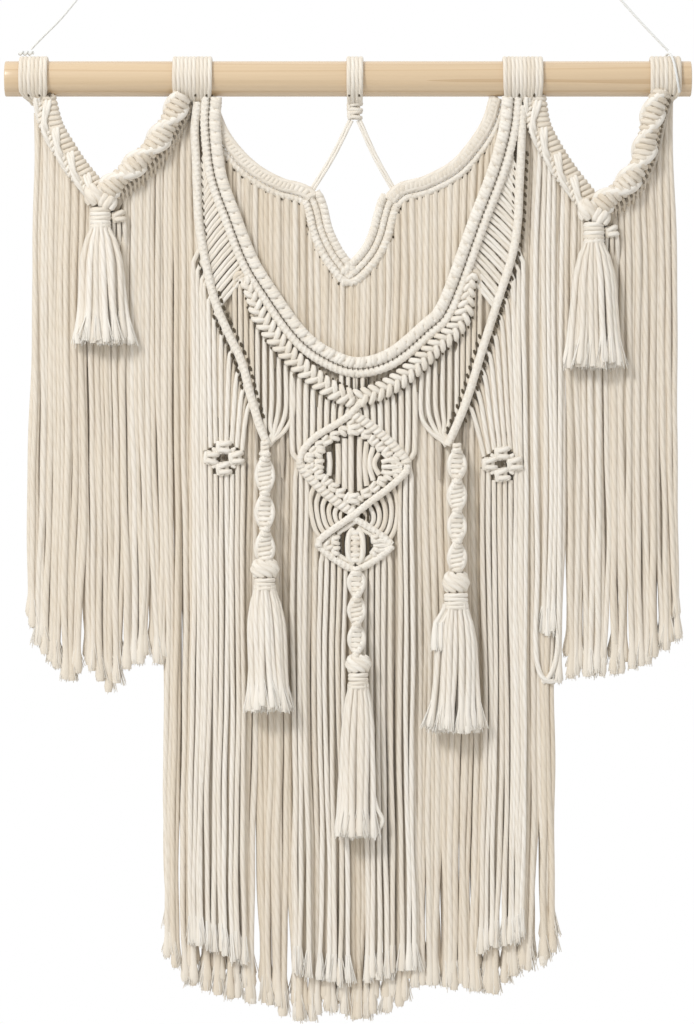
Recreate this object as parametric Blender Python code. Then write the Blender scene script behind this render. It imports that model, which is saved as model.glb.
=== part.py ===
"""Macrame wall hanging on a wooden rod.

All sizes are in millimetres and become metres when a mesh is written. X runs along the rod, Z is
up, and the front faces -Y. A place on the hanging is (x, drop): millimetres across from the rod's
middle, and millimetres below the rod's axis. Every path runs from left to right, so that its outer
side is the lower one. Knotted bars are swept bands with a ridge for each knot. Hanging cords are
combs: a narrow strip with strands that part below it.
"""
import math
import random
from typing import NamedTuple

import bmesh
import bpy
import numpy as np
from mathutils import Vector

MM = 0.001
GAP = 0.3
SEAM = 0.5

ROD_LENGTH = 600.0
ROD_RADIUS = 15.5
ROD_SIDES = 32
ROD_EDGE = 1.2

CORD = 4.2
STRAND_DEPTH = 4.0
PITCH = 6.7
STRIP = 3.0
STRIP_ON_SLOPE = 4.5
FRAYED_WIDTH = 5.8
FRAYED_LENGTH = 32.0
LENGTH_SCATTER = 5.0

LOOP_SIDES = 12
LOOP_BORE = (ROD_RADIUS + GAP) / math.cos(math.pi / LOOP_SIDES)
LOOP_VALLEY = 19.3
LOOP_RIDGE = 20.5

# Middle of each layer in depth, from the curtain at the back to the bars and tassels in front.
CURTAIN_Y = 0.0
NET_Y = -5.2
BARS_Y = -7.4
SWAG_BAND_Y = -6.0
SWAG_TWIST_Y = -10.4
SWAG_TASSEL_Y = -9.8
SPIRAL_TOP_Y = -11.8
TASSEL_Y = -18.0

HANGER_RADIUS = 1.1

random_length = random.Random(11)


class Place(NamedTuple):
    x: float
    drop: float


class Edge(NamedTuple):
    """One lengthwise edge of a band: its place across, and its height to the front."""
    across: float
    groove: float
    ridge: float


class Diamond(NamedTuple):
    """The middle line of a diamond of cord."""
    x: float
    drop: float
    half_width: float
    half_height: float


class Level(NamedTuple):
    """One level of a knot, spiral or tassel: an oval at a drop, turned about the vertical."""
    x: float
    y: float
    drop: float
    half_width: float
    half_depth: float
    turn: float = 0.0


class Fringe(NamedTuple):
    """A side fringe: how much its strands spread, its strip's top edge, and their roots."""
    name: str
    spread: float
    top: list
    root: list


class Group(NamedTuple):
    """Lark's head loops side by side on the rod, two cords to a ridge."""
    name: str
    start: float
    end: float
    ridges: int


def table(row_type, *rows):
    return [row_type(*row) for row in rows]


LOOP_GROUPS = table(Group, ("loops_end_left", -287, -262.5, 3), ("loops_inner_left", -153, -119, 4),
                    ("loops_centre", -1, 13, 2), ("loops_inner_right", 135.5, 170, 4),
                    ("loops_end_right", 264, 290.5, 3))

# ------------------------------------------------------------------ paths of the bars

NECK_ARC_LEFT = table(Place, (-123, 20.4), (-113, 47), (-98, 68), (-80, 84), (-57, 96), (-27, 101))
NECK_VEE_LEFT = table(Place, (-30, 110.4), (-24, 138), (-10, 162), (5.0, 172))
NECK_VEE_RIGHT = table(Place, (5.6, 172), (22, 160), (33, 135), (38.5, 111.8))
NECK_ARC_RIGHT = table(Place, (36, 103), (70, 96), (94, 82), (112, 62), (125, 40), (131, 20.4))

COLLAR_LEFT = table(Place, (-119, 20.3), (-120, 43), (-115, 85), (-102, 122), (-87, 160),
                    (-70, 188), (-45, 223), (-22, 242), (6.0, 252.5))
COLLAR_RIGHT = table(Place, (6.6, 252.5), (37, 245), (68, 220), (87, 198), (114, 125),
                     (131, 80), (140.5, 44), (143, 20.3))

SIDE_BAR_LEFT = table(Place, (-134.0, 42), (-132.8, 70), (-132, 97), (-129.5, 133), (-118, 189),
                      (-104, 220.5), (-91, 251), (-80.5, 285), (-76, 304), (-70, 320))
SIDE_BAR_RIGHT = table(Place, (87, 321), (103, 283), (117, 238), (130, 197), (142.6, 158),
                       (148, 128), (149.6, 97), (152, 57))

SWAG_BAND_LEFT = table(Place, (-265, 20.2), (-259, 42), (-249, 60), (-238, 77), (-226, 92))
SWAG_TWIST_LEFT = table(Place, (-205, 93), (-193, 82), (-178, 68), (-165, 53), (-155, 37),
                        (-149, 19.6))
SWAG_BAND_RIGHT = table(Place, (163, 20.2), (167, 42), (177, 62), (189, 81), (203, 99))
SWAG_TWIST_RIGHT = table(Place, (226, 106), (239, 96), (252, 80), (260, 58), (264, 38), (269.4, 21.8))

# Upper edges of the strips behind the swags, where the side strands and the curtain's ends hang.
SHOULDER_LEFT = table(Place, (-161, 74), (-151, 54), (-141, 36))
SHOULDER_RIGHT = table(Place, (149, 30), (157, 44), (167, 62), (178, 80), (187, 94))
# A side fringe's strip starts behind its swag arm and ends at the roots of its strands.
FRINGES = table(
    Fringe,
    ("left_outer", 1.12,
     table(Place, (-271, 24), (-264, 43), (-254, 61), (-243, 77), (-231, 91), (-217, 104)),
     table(Place, (-277, 29), (-270, 50), (-259, 70), (-247, 88), (-234, 105), (-217, 117))),
    ("left_inner", 1.0,
     table(Place, (-213.5, 103), (-198, 90), (-184, 76), (-163.5, 55)),
     table(Place, (-213.5, 114), (-198, 101), (-184, 87), (-163.5, 66))),
    ("right_inner", 1.0,
     table(Place, (189.5, 89), (202, 101), (215, 109)),
     table(Place, (189.5, 100), (202, 112), (215, 120))),
    ("right_outer", 1.12,
     table(Place, (218, 107), (234, 97), (248, 82), (257, 61), (264, 42), (277, 26)),
     table(Place, (218, 121), (240, 108), (256, 92), (266, 66), (274, 46), (284, 31))))
FRINGE_MIDDLE = 217.0

DIAMOND_LARGE = Diamond(4.8, 335.4, 44.0, 41.6)
DIAMOND_SMALL = Diamond(6.6, 407.0, 28.5, 19.6)
DIAMOND_POWER = 1.2
BUTTON = Place(6.6, 407.0)
FLOWER_LEFT = Place(-108.5, 331.6)
FLOWER_RIGHT = Place(134.7, 337.0)
FLOWER_RADIUS = 12.5

HANGER_LEFT = table(Place, (-277.5, -26.0), (-268, -36), (-252, -52), (-237, -70), (-225, -85))
HANGER_RIGHT = table(Place, (280.3, -24.6), (272, -33), (255, -51), (238, -70), (226, -84))

# How far down the strands reach, against the place across.
CURTAIN_HEM = table(Place, (-161, 762), (-140, 790), (-100, 804), (-64, 810), (-46, 823), (-25, 813),
                    (10, 821), (44, 814), (57, 791), (79, 794), (132, 804), (145, 788), (170, 780),
                    (184, 762))
FRINGE_HEM = table(Place, (-285, 466), (-270, 493), (-246, 524), (-226, 523), (-210, 540),
                   (-192, 516), (-160, 517), (172, 528), (236, 523), (256, 510), (280, 494), (294, 466))
NET_HEM = table(Place, (-150, 752), (-90, 778), (0, 796), (100, 775), (170, 748))

# ------------------------------------------------------------------ sections of the bars

NECK_HALF = 8.3
VEE_HALF = 10.4
COLLAR_HALF = 9.0
SIDE_BAR_HALF = 3.9
KNOT_ROW_HALF = 7.0
SWAG_BAND_HALF = 10.0
DIAMOND_HALF = 4.2

NECK_SECTION = table(Edge, (-8.3, 0, 0), (-4.5, 1.6, 3.4), (4.5, 2.6, 3.4), (8.3, 0, 0),
                     (0, -2.8, -2.8))
VEE_SECTION = table(Edge, (-10.4, 0, 0), (-6.2, 1.6, 3.4), (0.0, 0.6, 0.8), (6.2, 1.6, 3.4),
                    (10.4, 0, 0), (0, -2.8, -2.8))
COLLAR_SECTION = table(Edge, (-9.0, 0, 0), (-5.0, 1.4, 4.0), (4.4, 4.3, 4.3), (9.0, 0, 0),
                       (0, -3.0, -3.0))
SIDE_BAR_SECTION = table(Edge, (-3.9, 0, 0), (0, 2.4, 3.8), (3.9, 0, 0), (0, -3.2, -3.2))
KNOT_ROW_SECTION = table(Edge, (-7.0, 0, 0), (-3.0, 1.0, 4.0), (3.0, 1.0, 4.0), (7.0, 0, 0),
                         (0, -3.0, -3.0))
SWAG_BAND_SECTION = table(Edge, (-10.0, -3.6, -3.6), (-9.6, 0.6, 1.6), (-5.5, 2.2, 4.6),
                          (0.2, 0.8, 1.4), (6.0, 2.2, 4.6), (9.8, 0.6, 1.6), (10.0, -3.6, -3.6))

NECK_PITCH = 8.2
COLLAR_PITCH = 8.8
SIDE_BAR_PITCH = 9.0
KNOT_ROW_PITCH = 9.5
SWAG_BAND_PITCH = 9.5
TWIST_PITCH = 24.0
SPIRAL_PITCH = 27.0

MITRE_REACH = 16.0
KNOT_ROW_STARTS_AT_DROP = 168.0
KNOT_ROW_GROWS_OVER = 34.0
KNOT_ROW_LEAVES_OVER = 70.0
KNOT_ROW_LEAVES_BY = 11.0

# ------------------------------------------------------------------ the tassels

SIDES = 8


def head_levels(x, top, rows):
    """Levels of a head from rows of (mm below the top, half width, half depth, y)."""
    return [Level(x, y, top + below, wide, deep) for below, wide, deep, y in rows]


class Skirt(NamedTuple):
    """One level of a tassel's locks: middle, drop, half sizes, and the width of a lock."""
    x: float
    y: float
    drop: float
    half_width: float
    half_depth: float
    lock: float


# ------------------------------------------------------------------ curves in the (x, drop) plane

def smooth(places, samples=14):
    """Many points on a smooth curve through a table's places."""
    knots = [np.array(place, dtype=float) for place in places]
    knots = [2 * knots[0] - knots[1]] + knots + [2 * knots[-1] - knots[-2]]
    points = []
    for before, start, end, after in zip(knots, knots[1:], knots[2:], knots[3:]):
        for step in range(samples):
            t = step / samples
            points.append(0.5 * (2 * start + (end - before) * t
                                 + (2 * before - 5 * start + 4 * end - after) * t ** 2
                                 + (3 * start - before - 3 * end + after) * t ** 3))
    points.append(knots[-2])
    return np.array(points)


def travelled(curve):
    """Distance along a curve at each of its points."""
    return np.concatenate([[0.0], np.cumsum(np.linalg.norm(np.diff(curve, axis=0), axis=1))])


def at_distance(curve, distances):
    along = travelled(curve)
    return np.column_stack([np.interp(distances, along, curve[:, axis]) for axis in (0, 1)])


def evenly(curve, count):
    """The ends of `count` equal steps along a curve."""
    return at_distance(curve, np.linspace(0, travelled(curve)[-1], count + 1))


def outward(curve):
    """The unit direction across a curve, to its lower and outer side."""
    ahead = np.gradient(curve, axis=0)
    ahead /= np.linalg.norm(ahead, axis=1)[:, None]
    return np.column_stack([-ahead[:, 1], ahead[:, 0]])


def beside(curve, distance):
    """The curve moved outwards by one distance, or by a distance for each point."""
    return curve + outward(curve) * np.reshape(distance, (-1, 1))


def lower(curve, distance):
    return curve + np.array([0.0, distance])


def drop_at(curve, x):
    """Drop at x of a curve that runs steadily to the right."""
    return float(np.interp(x, curve[:, 0], curve[:, 1]))


def part_between(curve, start_x, end_x):
    """The stretch of a curve between two places across, with both ends on the curve."""
    inside = curve[(curve[:, 0] > start_x) & (curve[:, 0] < end_x)]
    start = (start_x, drop_at(curve, start_x))
    end = (end_x, drop_at(curve, end_x))
    return np.vstack([start, inside, end])


def drawn_out(curve, x):
    """The curve with its nearer end drawn out straight to a place across."""
    end, before = (0, 1) if abs(curve[0, 0] - x) < abs(curve[-1, 0] - x) else (-1, -2)
    slope = (curve[end] - curve[before]) / (curve[end, 0] - curve[before, 0])
    added = curve[end] + slope * (x - curve[end, 0])
    return np.vstack([added, curve] if end == 0 else [curve, added])


def distance_at_drop(curve, drop):
    """Distance along a curve that runs steadily down, or steadily up, at a drop."""
    along = travelled(curve)
    if curve[0, 1] > curve[-1, 1]:
        curve, along = curve[::-1], along[::-1]
    return float(np.interp(drop, curve[:, 1], along))


def value_at(rows, x):
    return float(np.interp(x, [row.x for row in rows], [row.drop for row in rows]))


def grown(diamond, out):
    """A diamond whose sides lie a distance outside the first one's."""
    scale = 1 + out * math.hypot(1 / diamond.half_width, 1 / diamond.half_height)
    return diamond._replace(half_width=diamond.half_width * scale,
                            half_height=diamond.half_height * scale)


def diamond_side(diamond, x, out, below):
    """Drop at x of a diamond's lower or upper side, moved out by a distance."""
    moved = grown(diamond, out)
    across = min(abs(x - moved.x) / moved.half_width, 1.0)
    rise = (1 - across ** DIAMOND_POWER) ** (1 / DIAMOND_POWER) * moved.half_height
    return moved.drop + rise if below else moved.drop - rise


def point(x, y, drop):
    return Vector((x * MM, y * MM, -drop * MM))


# ------------------------------------------------------------------ meshes

def finish(name, bm, material):
    """Write a closed mesh to a named object."""
    bmesh.ops.recalc_face_normals(bm, faces=bm.faces)
    mesh = bpy.data.meshes.new(name)
    bm.to_mesh(mesh)
    bm.free()
    mesh.shade_smooth()
    mesh.set_sharp_from_angle(angle=math.radians(40))
    mesh.materials.append(material)
    obj = bpy.data.objects.new(name, mesh)
    bpy.context.collection.objects.link(obj)
    return obj


def join_loops(bm, upper, following):
    for side in range(len(upper)):
        turn = (side + 1) % len(upper)
        bm.faces.new((upper[side], upper[turn], following[turn], following[side]))


def add_rings(bm, rings):
    """Join rings of equal length with quads, and return their loops of vertices."""
    loops = [[bm.verts.new(corner) for corner in ring] for ring in rings]
    for upper, following in zip(loops, loops[1:]):
        join_loops(bm, upper, following)
    return loops


def skin(name, rings, material, closed=False):
    """A closed body through rings, with flat ends or joined into a hoop."""
    bm = bmesh.new()
    loops = add_rings(bm, rings)
    if closed:
        join_loops(bm, loops[-1], loops[0])
    else:
        bm.faces.new(loops[0])
        bm.faces.new(loops[-1])
    return finish(name, bm, material)


def section_ring(centre, side, section, layer, on_ridge, width=1.0):
    return [point(centre[0] + edge.across * width * side[0],
                  layer - (edge.ridge if on_ridge else edge.groove) * max(width, 0.5),
                  centre[1] + edge.across * width * side[1]) for edge in section]


def turned_to(sides, distances, end, direction):
    """The sides of a band, turned bit by bit near one end so that the end is level or plumb."""
    cut = np.array([1.0, 0.0]) if direction == "level" else np.array([0.0, 1.0])
    cut = cut / (cut @ sides[end])
    share = np.clip(1 - np.abs(distances - distances[end]) / MITRE_REACH, 0, 1)[:, None]
    return sides * (1 - share) + cut * share


def band(name, curve, section, pitch, layer, material, widths=None, start=None, end=None):
    """A knotted bar: a section swept along a curve, with a ridge for each knot. Its start or end
    can be cut level, to sit under a loop, or plumb, to meet the other half of the bar."""
    knots = round(travelled(curve)[-1] / pitch)
    stations = evenly(curve, 2 * knots)
    distances = travelled(stations)
    sides = outward(stations)
    if start:
        sides = turned_to(sides, distances, 0, start)
    if end:
        sides = turned_to(sides, distances, -1, end)
    rings = []
    for index, (centre, side) in enumerate(zip(stations, sides)):
        width = 1.0 if widths is None else np.interp(distances[index], *widths)
        rings.append(section_ring(centre, side, section, layer, index % 2 == 1, width))
    return skin(name, rings, material)


def twist(name, curve, half_width, half_depth, layer, material):
    """A spiral of half knots along a curve: an oval section that turns as it goes."""
    steps = round(travelled(curve)[-1] / TWIST_PITCH) * 5
    stations = evenly(curve, steps)
    rings = []
    for index, (centre, side) in enumerate(zip(stations, outward(stations))):
        turned = math.pi * index / 5
        corners = []
        for corner in range(6):
            angle = math.tau * corner / 6
            long_way = math.cos(angle)
            short_way = 0.55 * math.sin(angle)
            sideways = long_way * math.cos(turned) - short_way * math.sin(turned)
            forwards = long_way * math.sin(turned) + short_way * math.cos(turned)
            corners.append(point(centre[0] + sideways * half_width * side[0],
                                 layer - forwards * half_depth,
                                 centre[1] + sideways * half_width * side[1]))
        rings.append(corners)
    return skin(name, rings, material)


class Strand(NamedTuple):
    """A hanging cord: where its root starts and ends on the strip, then the middle, drop and
    width of each section below."""
    root_start: tuple
    root_end: tuple
    course: list


def strand_ring(before, middle, after, width, layer):
    """Four corners across a strand, square to the way it runs."""
    ahead = (Vector(after) - Vector(before)).normalized()
    half = Vector((ahead.y, -ahead.x)) * (width / 2)
    left = Vector(middle) - half
    right = Vector(middle) + half
    front, back = layer - STRAND_DEPTH / 2, layer + STRAND_DEPTH / 2
    return [point(left.x, front, left.y), point(right.x, front, right.y),
            point(right.x, back, right.y), point(left.x, back, left.y)]


def comb(name, top, root, strands, layer, material):
    """A strip between two curves, with strands that leave its lower edge and hang apart."""
    bm = bmesh.new()
    strands = sorted(strands, key=lambda strand: strand.root_start[0])
    outline = [tuple(root[0])]
    for strand in strands:
        outline += [strand.root_start, strand.root_end]
    outline.append(tuple(root[-1]))
    pieces = max(1, math.ceil(travelled(top)[-1] / 9))
    outline += [tuple(place) for place in evenly(top, pieces)][::-1]
    front = [bm.verts.new(point(x, layer - STRAND_DEPTH / 2, drop)) for x, drop in outline]
    back = [bm.verts.new(point(x, layer + STRAND_DEPTH / 2, drop)) for x, drop in outline]
    bm.faces.new(front)
    bm.faces.new(back[::-1])
    for corner in range(len(outline)):
        following = (corner + 1) % len(outline)
        loop = [front[corner], front[following], back[following], back[corner]]
        if corner % 2 == 0 or corner > 2 * len(strands):
            bm.faces.new(loop)
            continue
        strand = strands[corner // 2]
        start = (Vector(strand.root_start) + Vector(strand.root_end)) / 2
        middles = [start] + [Vector((x, drop)) for x, drop, width in strand.course]
        for index, (x, drop, width) in enumerate(strand.course, start=1):
            after = middles[min(index + 1, len(middles) - 1)]
            corners = strand_ring(middles[index - 1], middles[index], after, width, layer)
            following_loop = [bm.verts.new(place) for place in corners]
            join_loops(bm, loop, following_loop)
            loop = following_loop
        bm.faces.new(loop)
    return finish(name, bm, material)


def root_at_x(root, x):
    return tuple((x + half, drop_at(root, x + half)) for half in (-CORD / 2, CORD / 2))


def root_at_distance(root, distance):
    ends = at_distance(root, np.array([distance - CORD / 2, distance + CORD / 2]))
    return tuple(ends[0]), tuple(ends[1])


def places_across(start, end, pitch=PITCH):
    """Even places at about a pitch, from half a cord inside each end."""
    room = end - start - CORD - 1.2
    count = max(1, int(room / pitch))
    return [start + CORD / 2 + 0.6 + room * index / count for index in range(count + 1)]


def hanging(root, x, hem, spread=1.0, middle=0.0):
    """A strand that hangs straight from a root at x to a hem, and frays at its end."""
    end_x = middle + (x - middle) * spread
    end = value_at(hem, end_x) - random_length.uniform(0, LENGTH_SCATTER)
    fray = end - FRAYED_LENGTH
    return Strand(*root_at_x(root, x), [(end_x, fray, CORD), (end_x, end, FRAYED_WIDTH)])


def straight_to(root, x, end_drop):
    """A strand that falls straight from a root at x and stops at a drop."""
    return Strand(*root_at_x(root, x), [(x, end_drop, CORD)])


def oval(level, share=1.0):
    """Corners of a level's oval; the first pair of corners straddles +X."""
    corners = []
    for corner in range(SIDES):
        angle = math.tau * (corner - 0.5) / SIDES
        wide = math.cos(angle) * level.half_width * share
        deep = math.sin(angle) * level.half_depth * share
        corners.append(point(level.x + wide * math.cos(level.turn) - deep * math.sin(level.turn),
                             level.y + wide * math.sin(level.turn) + deep * math.cos(level.turn),
                             level.drop))
    return corners


def lock_ring(skirt, number):
    """Four corners across one lock of a tassel, at one level of its skirt."""
    radius = math.sqrt((skirt.half_width ** 2 + skirt.half_depth ** 2) / 2)
    half_angle = skirt.lock / 2 / radius
    middle = math.tau * number / SIDES
    corners = []
    for angle, share in ((-half_angle, 1.0), (half_angle, 1.0), (half_angle, 0.55), (-half_angle, 0.55)):
        corners.append(point(skirt.x + math.cos(middle + angle) * skirt.half_width * share,
                             skirt.y + math.sin(middle + angle) * skirt.half_depth * share,
                             skirt.drop + random_length.uniform(-1.5, 1.5)))
    return corners


def tassel(name, levels, skirts, material):
    """A knotted head of oval levels with eight locks that part below it."""
    bm = bmesh.new()
    loops = add_rings(bm, [oval(level) for level in levels])
    bm.faces.new(loops[0])
    outer = loops[-1]
    inner = [bm.verts.new(corner) for corner in oval(levels[-1], 0.5)]
    bm.faces.new(inner)
    for number in range(SIDES):
        turn = (number + 1) % SIDES
        loop = [outer[number], outer[turn], inner[turn], inner[number]]
        for skirt in skirts:
            following = [bm.verts.new(corner) for corner in lock_ring(skirt, number)]
            join_loops(bm, loop, following)
            loop = following
        bm.faces.new(loop)
    return finish(name, bm, material)


def lathe_along(name, start, ahead, rows, sides, material):
    """A round body on an axis, from rows of (mm along it, radius)."""
    ahead = Vector(ahead).normalized()
    side = ahead.cross(Vector((0, 1, 0))).normalized()
    other = ahead.cross(side)
    rings = []
    for along, radius in rows:
        centre = Vector(start) + ahead * along * MM
        rings.append([centre + (side * math.cos(math.tau * (k + 0.5) / sides)
                                + other * math.sin(math.tau * (k + 0.5) / sides)) * radius * MM
                      for k in range(sides)])
    return skin(name, rings, material)


def cord_tube(name, places, radius, material):
    """A round cord along a list of places."""
    curve = bpy.data.curves.new(name, "CURVE")
    curve.dimensions = "3D"
    curve.bevel_depth = radius * MM
    curve.bevel_resolution = 2
    curve.use_fill_caps = True
    spline = curve.splines.new("POLY")
    spline.points.add(len(places) - 1)
    for target, place in zip(spline.points, places):
        target.co = (*place, 1)
    curve.materials.append(material)
    obj = bpy.data.objects.new(name, curve)
    bpy.context.collection.objects.link(obj)
    return obj


def plain_material(name, colour, roughness):
    material = bpy.data.materials.new(name)
    material.use_nodes = True
    shader = material.node_tree.nodes["Principled BSDF"]
    shader.inputs["Base Color"].default_value = (*colour, 1)
    shader.inputs["Roughness"].default_value = roughness
    shader.inputs["Metallic"].default_value = 0.0
    return material


# ------------------------------------------------------------------ the pieces

def make_rod(pine):
    half = ROD_LENGTH / 2
    lathe_along("rod", (-half * MM, 0, 0), (1, 0, 0),
                [(0, ROD_RADIUS - ROD_EDGE), (ROD_EDGE, ROD_RADIUS),
                 (ROD_LENGTH - ROD_EDGE, ROD_RADIUS), (ROD_LENGTH, ROD_RADIUS - ROD_EDGE)],
                ROD_SIDES, pine)


def make_loops(cotton):
    """Ridged sleeves round the rod, one for each group of lark's heads."""
    for group in LOOP_GROUPS:
        step = (group.end - group.start) / group.ridges / 2
        profile = [(group.start + step * index, LOOP_RIDGE if index % 2 else LOOP_VALLEY)
                   for index in range(2 * group.ridges + 1)]
        profile += [(group.end, LOOP_BORE), (group.start, LOOP_BORE)]
        rings = []
        for corner in range(LOOP_SIDES):
            angle = math.tau * (corner + 0.5) / LOOP_SIDES
            rings.append([point(x, radius * math.sin(angle), radius * math.cos(angle))
                          for x, radius in profile])
        skin(group.name, rings, cotton, closed=True)


def make_hanger(thread):
    """Two thin cords that rise from the rod's ends, each knotted at both ends."""
    for side, route in (("left", HANGER_LEFT), ("right", HANGER_RIGHT)):
        line = smooth(route)
        stations = evenly(line, math.ceil(travelled(line)[-1] / (2.5 * 2 * HANGER_RADIUS)))
        cord_tube("hanger_" + side, [point(x, 0, drop) for x, drop in stations], HANGER_RADIUS,
                  thread)
        end, before = stations[-1], stations[-2]
        ahead = Vector((end[0] - before[0], 0, before[1] - end[1])).normalized()
        lathe_along("hanger_knot_" + side, point(end[0], 0, end[1]) + ahead * GAP * MM, ahead,
                    [(0, 1.6), (1.6, 3.2), (4.0, 2.7), (6.4, 3.2), (8.0, 1.6)], SIDES, thread)
    lathe_along("hanger_hitch_left", point(-289, 0, -22.5), (1, 0, 0),
                [(0, 1.8), (1.8, 2.6), (4.6, 2.1), (7.4, 2.6), (10.2, 2.1), (13, 2.6), (14.8, 1.8)],
                SIDES, thread)
    over = []
    for step in range(12):
        angle = math.radians(112 - 13.5 * step)
        radius = LOOP_RIDGE + 0.6 + HANGER_RADIUS
        over.append(point(278.6 + 0.9 * step, -radius * math.cos(angle), -radius * math.sin(angle)))
    cord_tube("hanger_hitch_right", over, HANGER_RADIUS, thread)


def make_centre_tie(cotton):
    knot = head_levels(6.0, 20.3, [(0, 5.0, 3.4, 0), (3.6, 8.0, 5.0, 0), (7.4, 6.8, 4.2, 0),
                                   (11.2, 8.0, 5.0, 0), (14.8, 5.4, 3.6, 0)])
    skin("tie_knot", [oval(level) for level in knot], cotton)
    for side, start, end in (("left", (2.6, 36.6), (-29.0, 91.0)), ("right", (9.4, 36.6), (38.0, 92.8))):
        sag = 1.2 if side == "left" else -1.2
        middle = ((start[0] + end[0]) / 2 + sag, (start[1] + end[1]) / 2 + 1.0)
        stations = [start, middle, end]
        rings = []
        for index, (x, drop) in enumerate(stations):
            before, after = stations[max(index - 1, 0)], stations[min(index + 1, 2)]
            ahead = (Vector(after) - Vector(before)).normalized()
            across = Vector((ahead.y, -ahead.x)) * (CORD / 2)
            rings.append([point(x + across.x * math.cos(angle), CORD / 2 * math.sin(angle),
                                drop + across.y * math.cos(angle))
                          for angle in (math.tau * k / 6 for k in range(6))])
        skin("tie_cord_" + side, rings, cotton)


def make_neckline(cotton):
    arcs = {"left": smooth(NECK_ARC_LEFT), "right": smooth(NECK_ARC_RIGHT)}
    vees = {"left": smooth(NECK_VEE_LEFT), "right": smooth(NECK_VEE_RIGHT)}
    for side, start, end in (("left", "level", None), ("right", None, "level")):
        band("neck_arc_" + side, arcs[side], NECK_SECTION, NECK_PITCH, CURTAIN_Y, cotton,
             start=start, end=end)
    for side, start, end in (("left", None, "plumb"), ("right", "plumb", None)):
        band("neck_vee_" + side, vees[side], VEE_SECTION, NECK_PITCH, CURTAIN_Y, cotton,
             start=start, end=end)
    left_edge = part_between(beside(arcs["left"], NECK_HALF + SEAM), -131.0, -44.0)
    right_edge = part_between(beside(arcs["right"], NECK_HALF + SEAM), 52.8, 139.0)
    edges = {"curtain_left": np.vstack([smooth(SHOULDER_LEFT), left_edge]),
             "curtain_right": np.vstack([right_edge, smooth(SHOULDER_RIGHT)])}
    for name, top in edges.items():
        root = lower(top, STRIP_ON_SLOPE)
        strands = [hanging(root, x, CURTAIN_HEM) for x in places_across(top[0, 0], top[-1, 0])]
        comb(name, top, root, strands, CURTAIN_Y, cotton)
    for side, middle, outer in (("left", 5.0, -43.2), ("right", 5.6, 51.4)):
        top = drawn_out(beside(vees[side], VEE_HALF + SEAM), middle)
        root = drawn_out(beside(vees[side], VEE_HALF + SEAM + STRIP), middle)
        strands = [hanging(root, x, CURTAIN_HEM) for x in places_across(root[0, 0], root[-1, 0])]
        comb("curtain_vee_" + side, top, root, strands, CURTAIN_Y, cotton)


def make_fringes(cotton):
    for fringe in FRINGES:
        middle = math.copysign(FRINGE_MIDDLE, fringe.root[0].x)
        root = smooth(fringe.root)
        strands = [hanging(root, x, FRINGE_HEM, fringe.spread, middle)
                   for x in places_across(root[0, 0], root[-1, 0])]
        comb("fringe_" + fringe.name, smooth(fringe.top), root, strands, CURTAIN_Y, cotton)


def make_swags(cotton):
    for side, places in (("left", SWAG_BAND_LEFT), ("right", SWAG_BAND_RIGHT)):
        band("swag_band_" + side, smooth(places), SWAG_BAND_SECTION, SWAG_BAND_PITCH, SWAG_BAND_Y,
             cotton, start="level")
    twist("swag_twist_left", smooth(SWAG_TWIST_LEFT), 12.5, 8.0, SWAG_TWIST_Y, cotton)
    twist("swag_twist_right", smooth(SWAG_TWIST_RIGHT), 12.5, 8.0, SWAG_TWIST_Y, cotton)
    y = SWAG_TASSEL_Y
    head = [(0, 2.5, 2.5, y), (9.5, 13.0, 8.0, y), (22, 14.0, 8.0, y), (29, 9.2, 7.0, y),
            (31, 9.6, 7.4, y), (43, 9.4, 7.4, y - 1)]
    for side, x, top, foot_x, foot in (("left", -216.0, 89.0, -215.0, 232.0),
                                       ("right", 214.6, 102.0, 215.3, 253.0)):
        levels = head_levels(x, top, head)
        start = levels[-1].drop
        skirts = [Skirt(x, y - 2.5, start + 14, 12.0, 8.6, 6.5),
                  Skirt(foot_x, y - 4.5, foot, 25.0, 11.0, 9.5)]
        tassel("swag_tassel_" + side, levels, skirts, cotton)


def make_collar(cotton):
    """The two halves of the U collar, the knot rows under it, and the strands that leave them."""
    for side, places, bar_places in (("left", COLLAR_LEFT, SIDE_BAR_LEFT),
                                     ("right", COLLAR_RIGHT, SIDE_BAR_RIGHT)):
        collar = smooth(places)
        bar = smooth(bar_places)
        ends = ("level", "plumb") if side == "left" else ("plumb", "level")
        band("collar_" + side, collar, COLLAR_SECTION, COLLAR_PITCH, BARS_Y, cotton,
             start=ends[0], end=ends[1])
        row, row_half = knot_row(collar)
        distances = travelled(row)
        widths = (distances, row_half / KNOT_ROW_HALF)
        band("knot_row_" + side, row, KNOT_ROW_SECTION, KNOT_ROW_PITCH, BARS_Y, cotton, widths)
        make_collar_strands(side, collar, row, row_half, bar, cotton)
        band("side_bar_" + side, bar, SIDE_BAR_SECTION, SIDE_BAR_PITCH, BARS_Y, cotton)


def from_row_start(collar):
    """Distance from the knot row's start, towards the collar's lowest point."""
    along = travelled(collar)
    start = distance_at_drop(collar, KNOT_ROW_STARTS_AT_DROP)
    return along - start if collar[0, 1] < collar[-1, 1] else start - along


def knot_row(collar):
    """The middle line of the knot row under a collar half, and its half width at each point."""
    below_start = from_row_start(collar)
    kept = below_start >= 0
    run = below_start[kept]
    half = KNOT_ROW_HALF * np.clip(run / KNOT_ROW_GROWS_OVER, 0.15, 1.0)
    leaving = np.clip((run - run.max() + KNOT_ROW_LEAVES_OVER) / KNOT_ROW_LEAVES_OVER, 0, 1)
    away = KNOT_ROW_LEAVES_BY * leaving ** 2
    return beside(collar, COLLAR_HALF + SEAM)[kept] + outward(collar)[kept] * (half + away)[:, None], half


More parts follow.
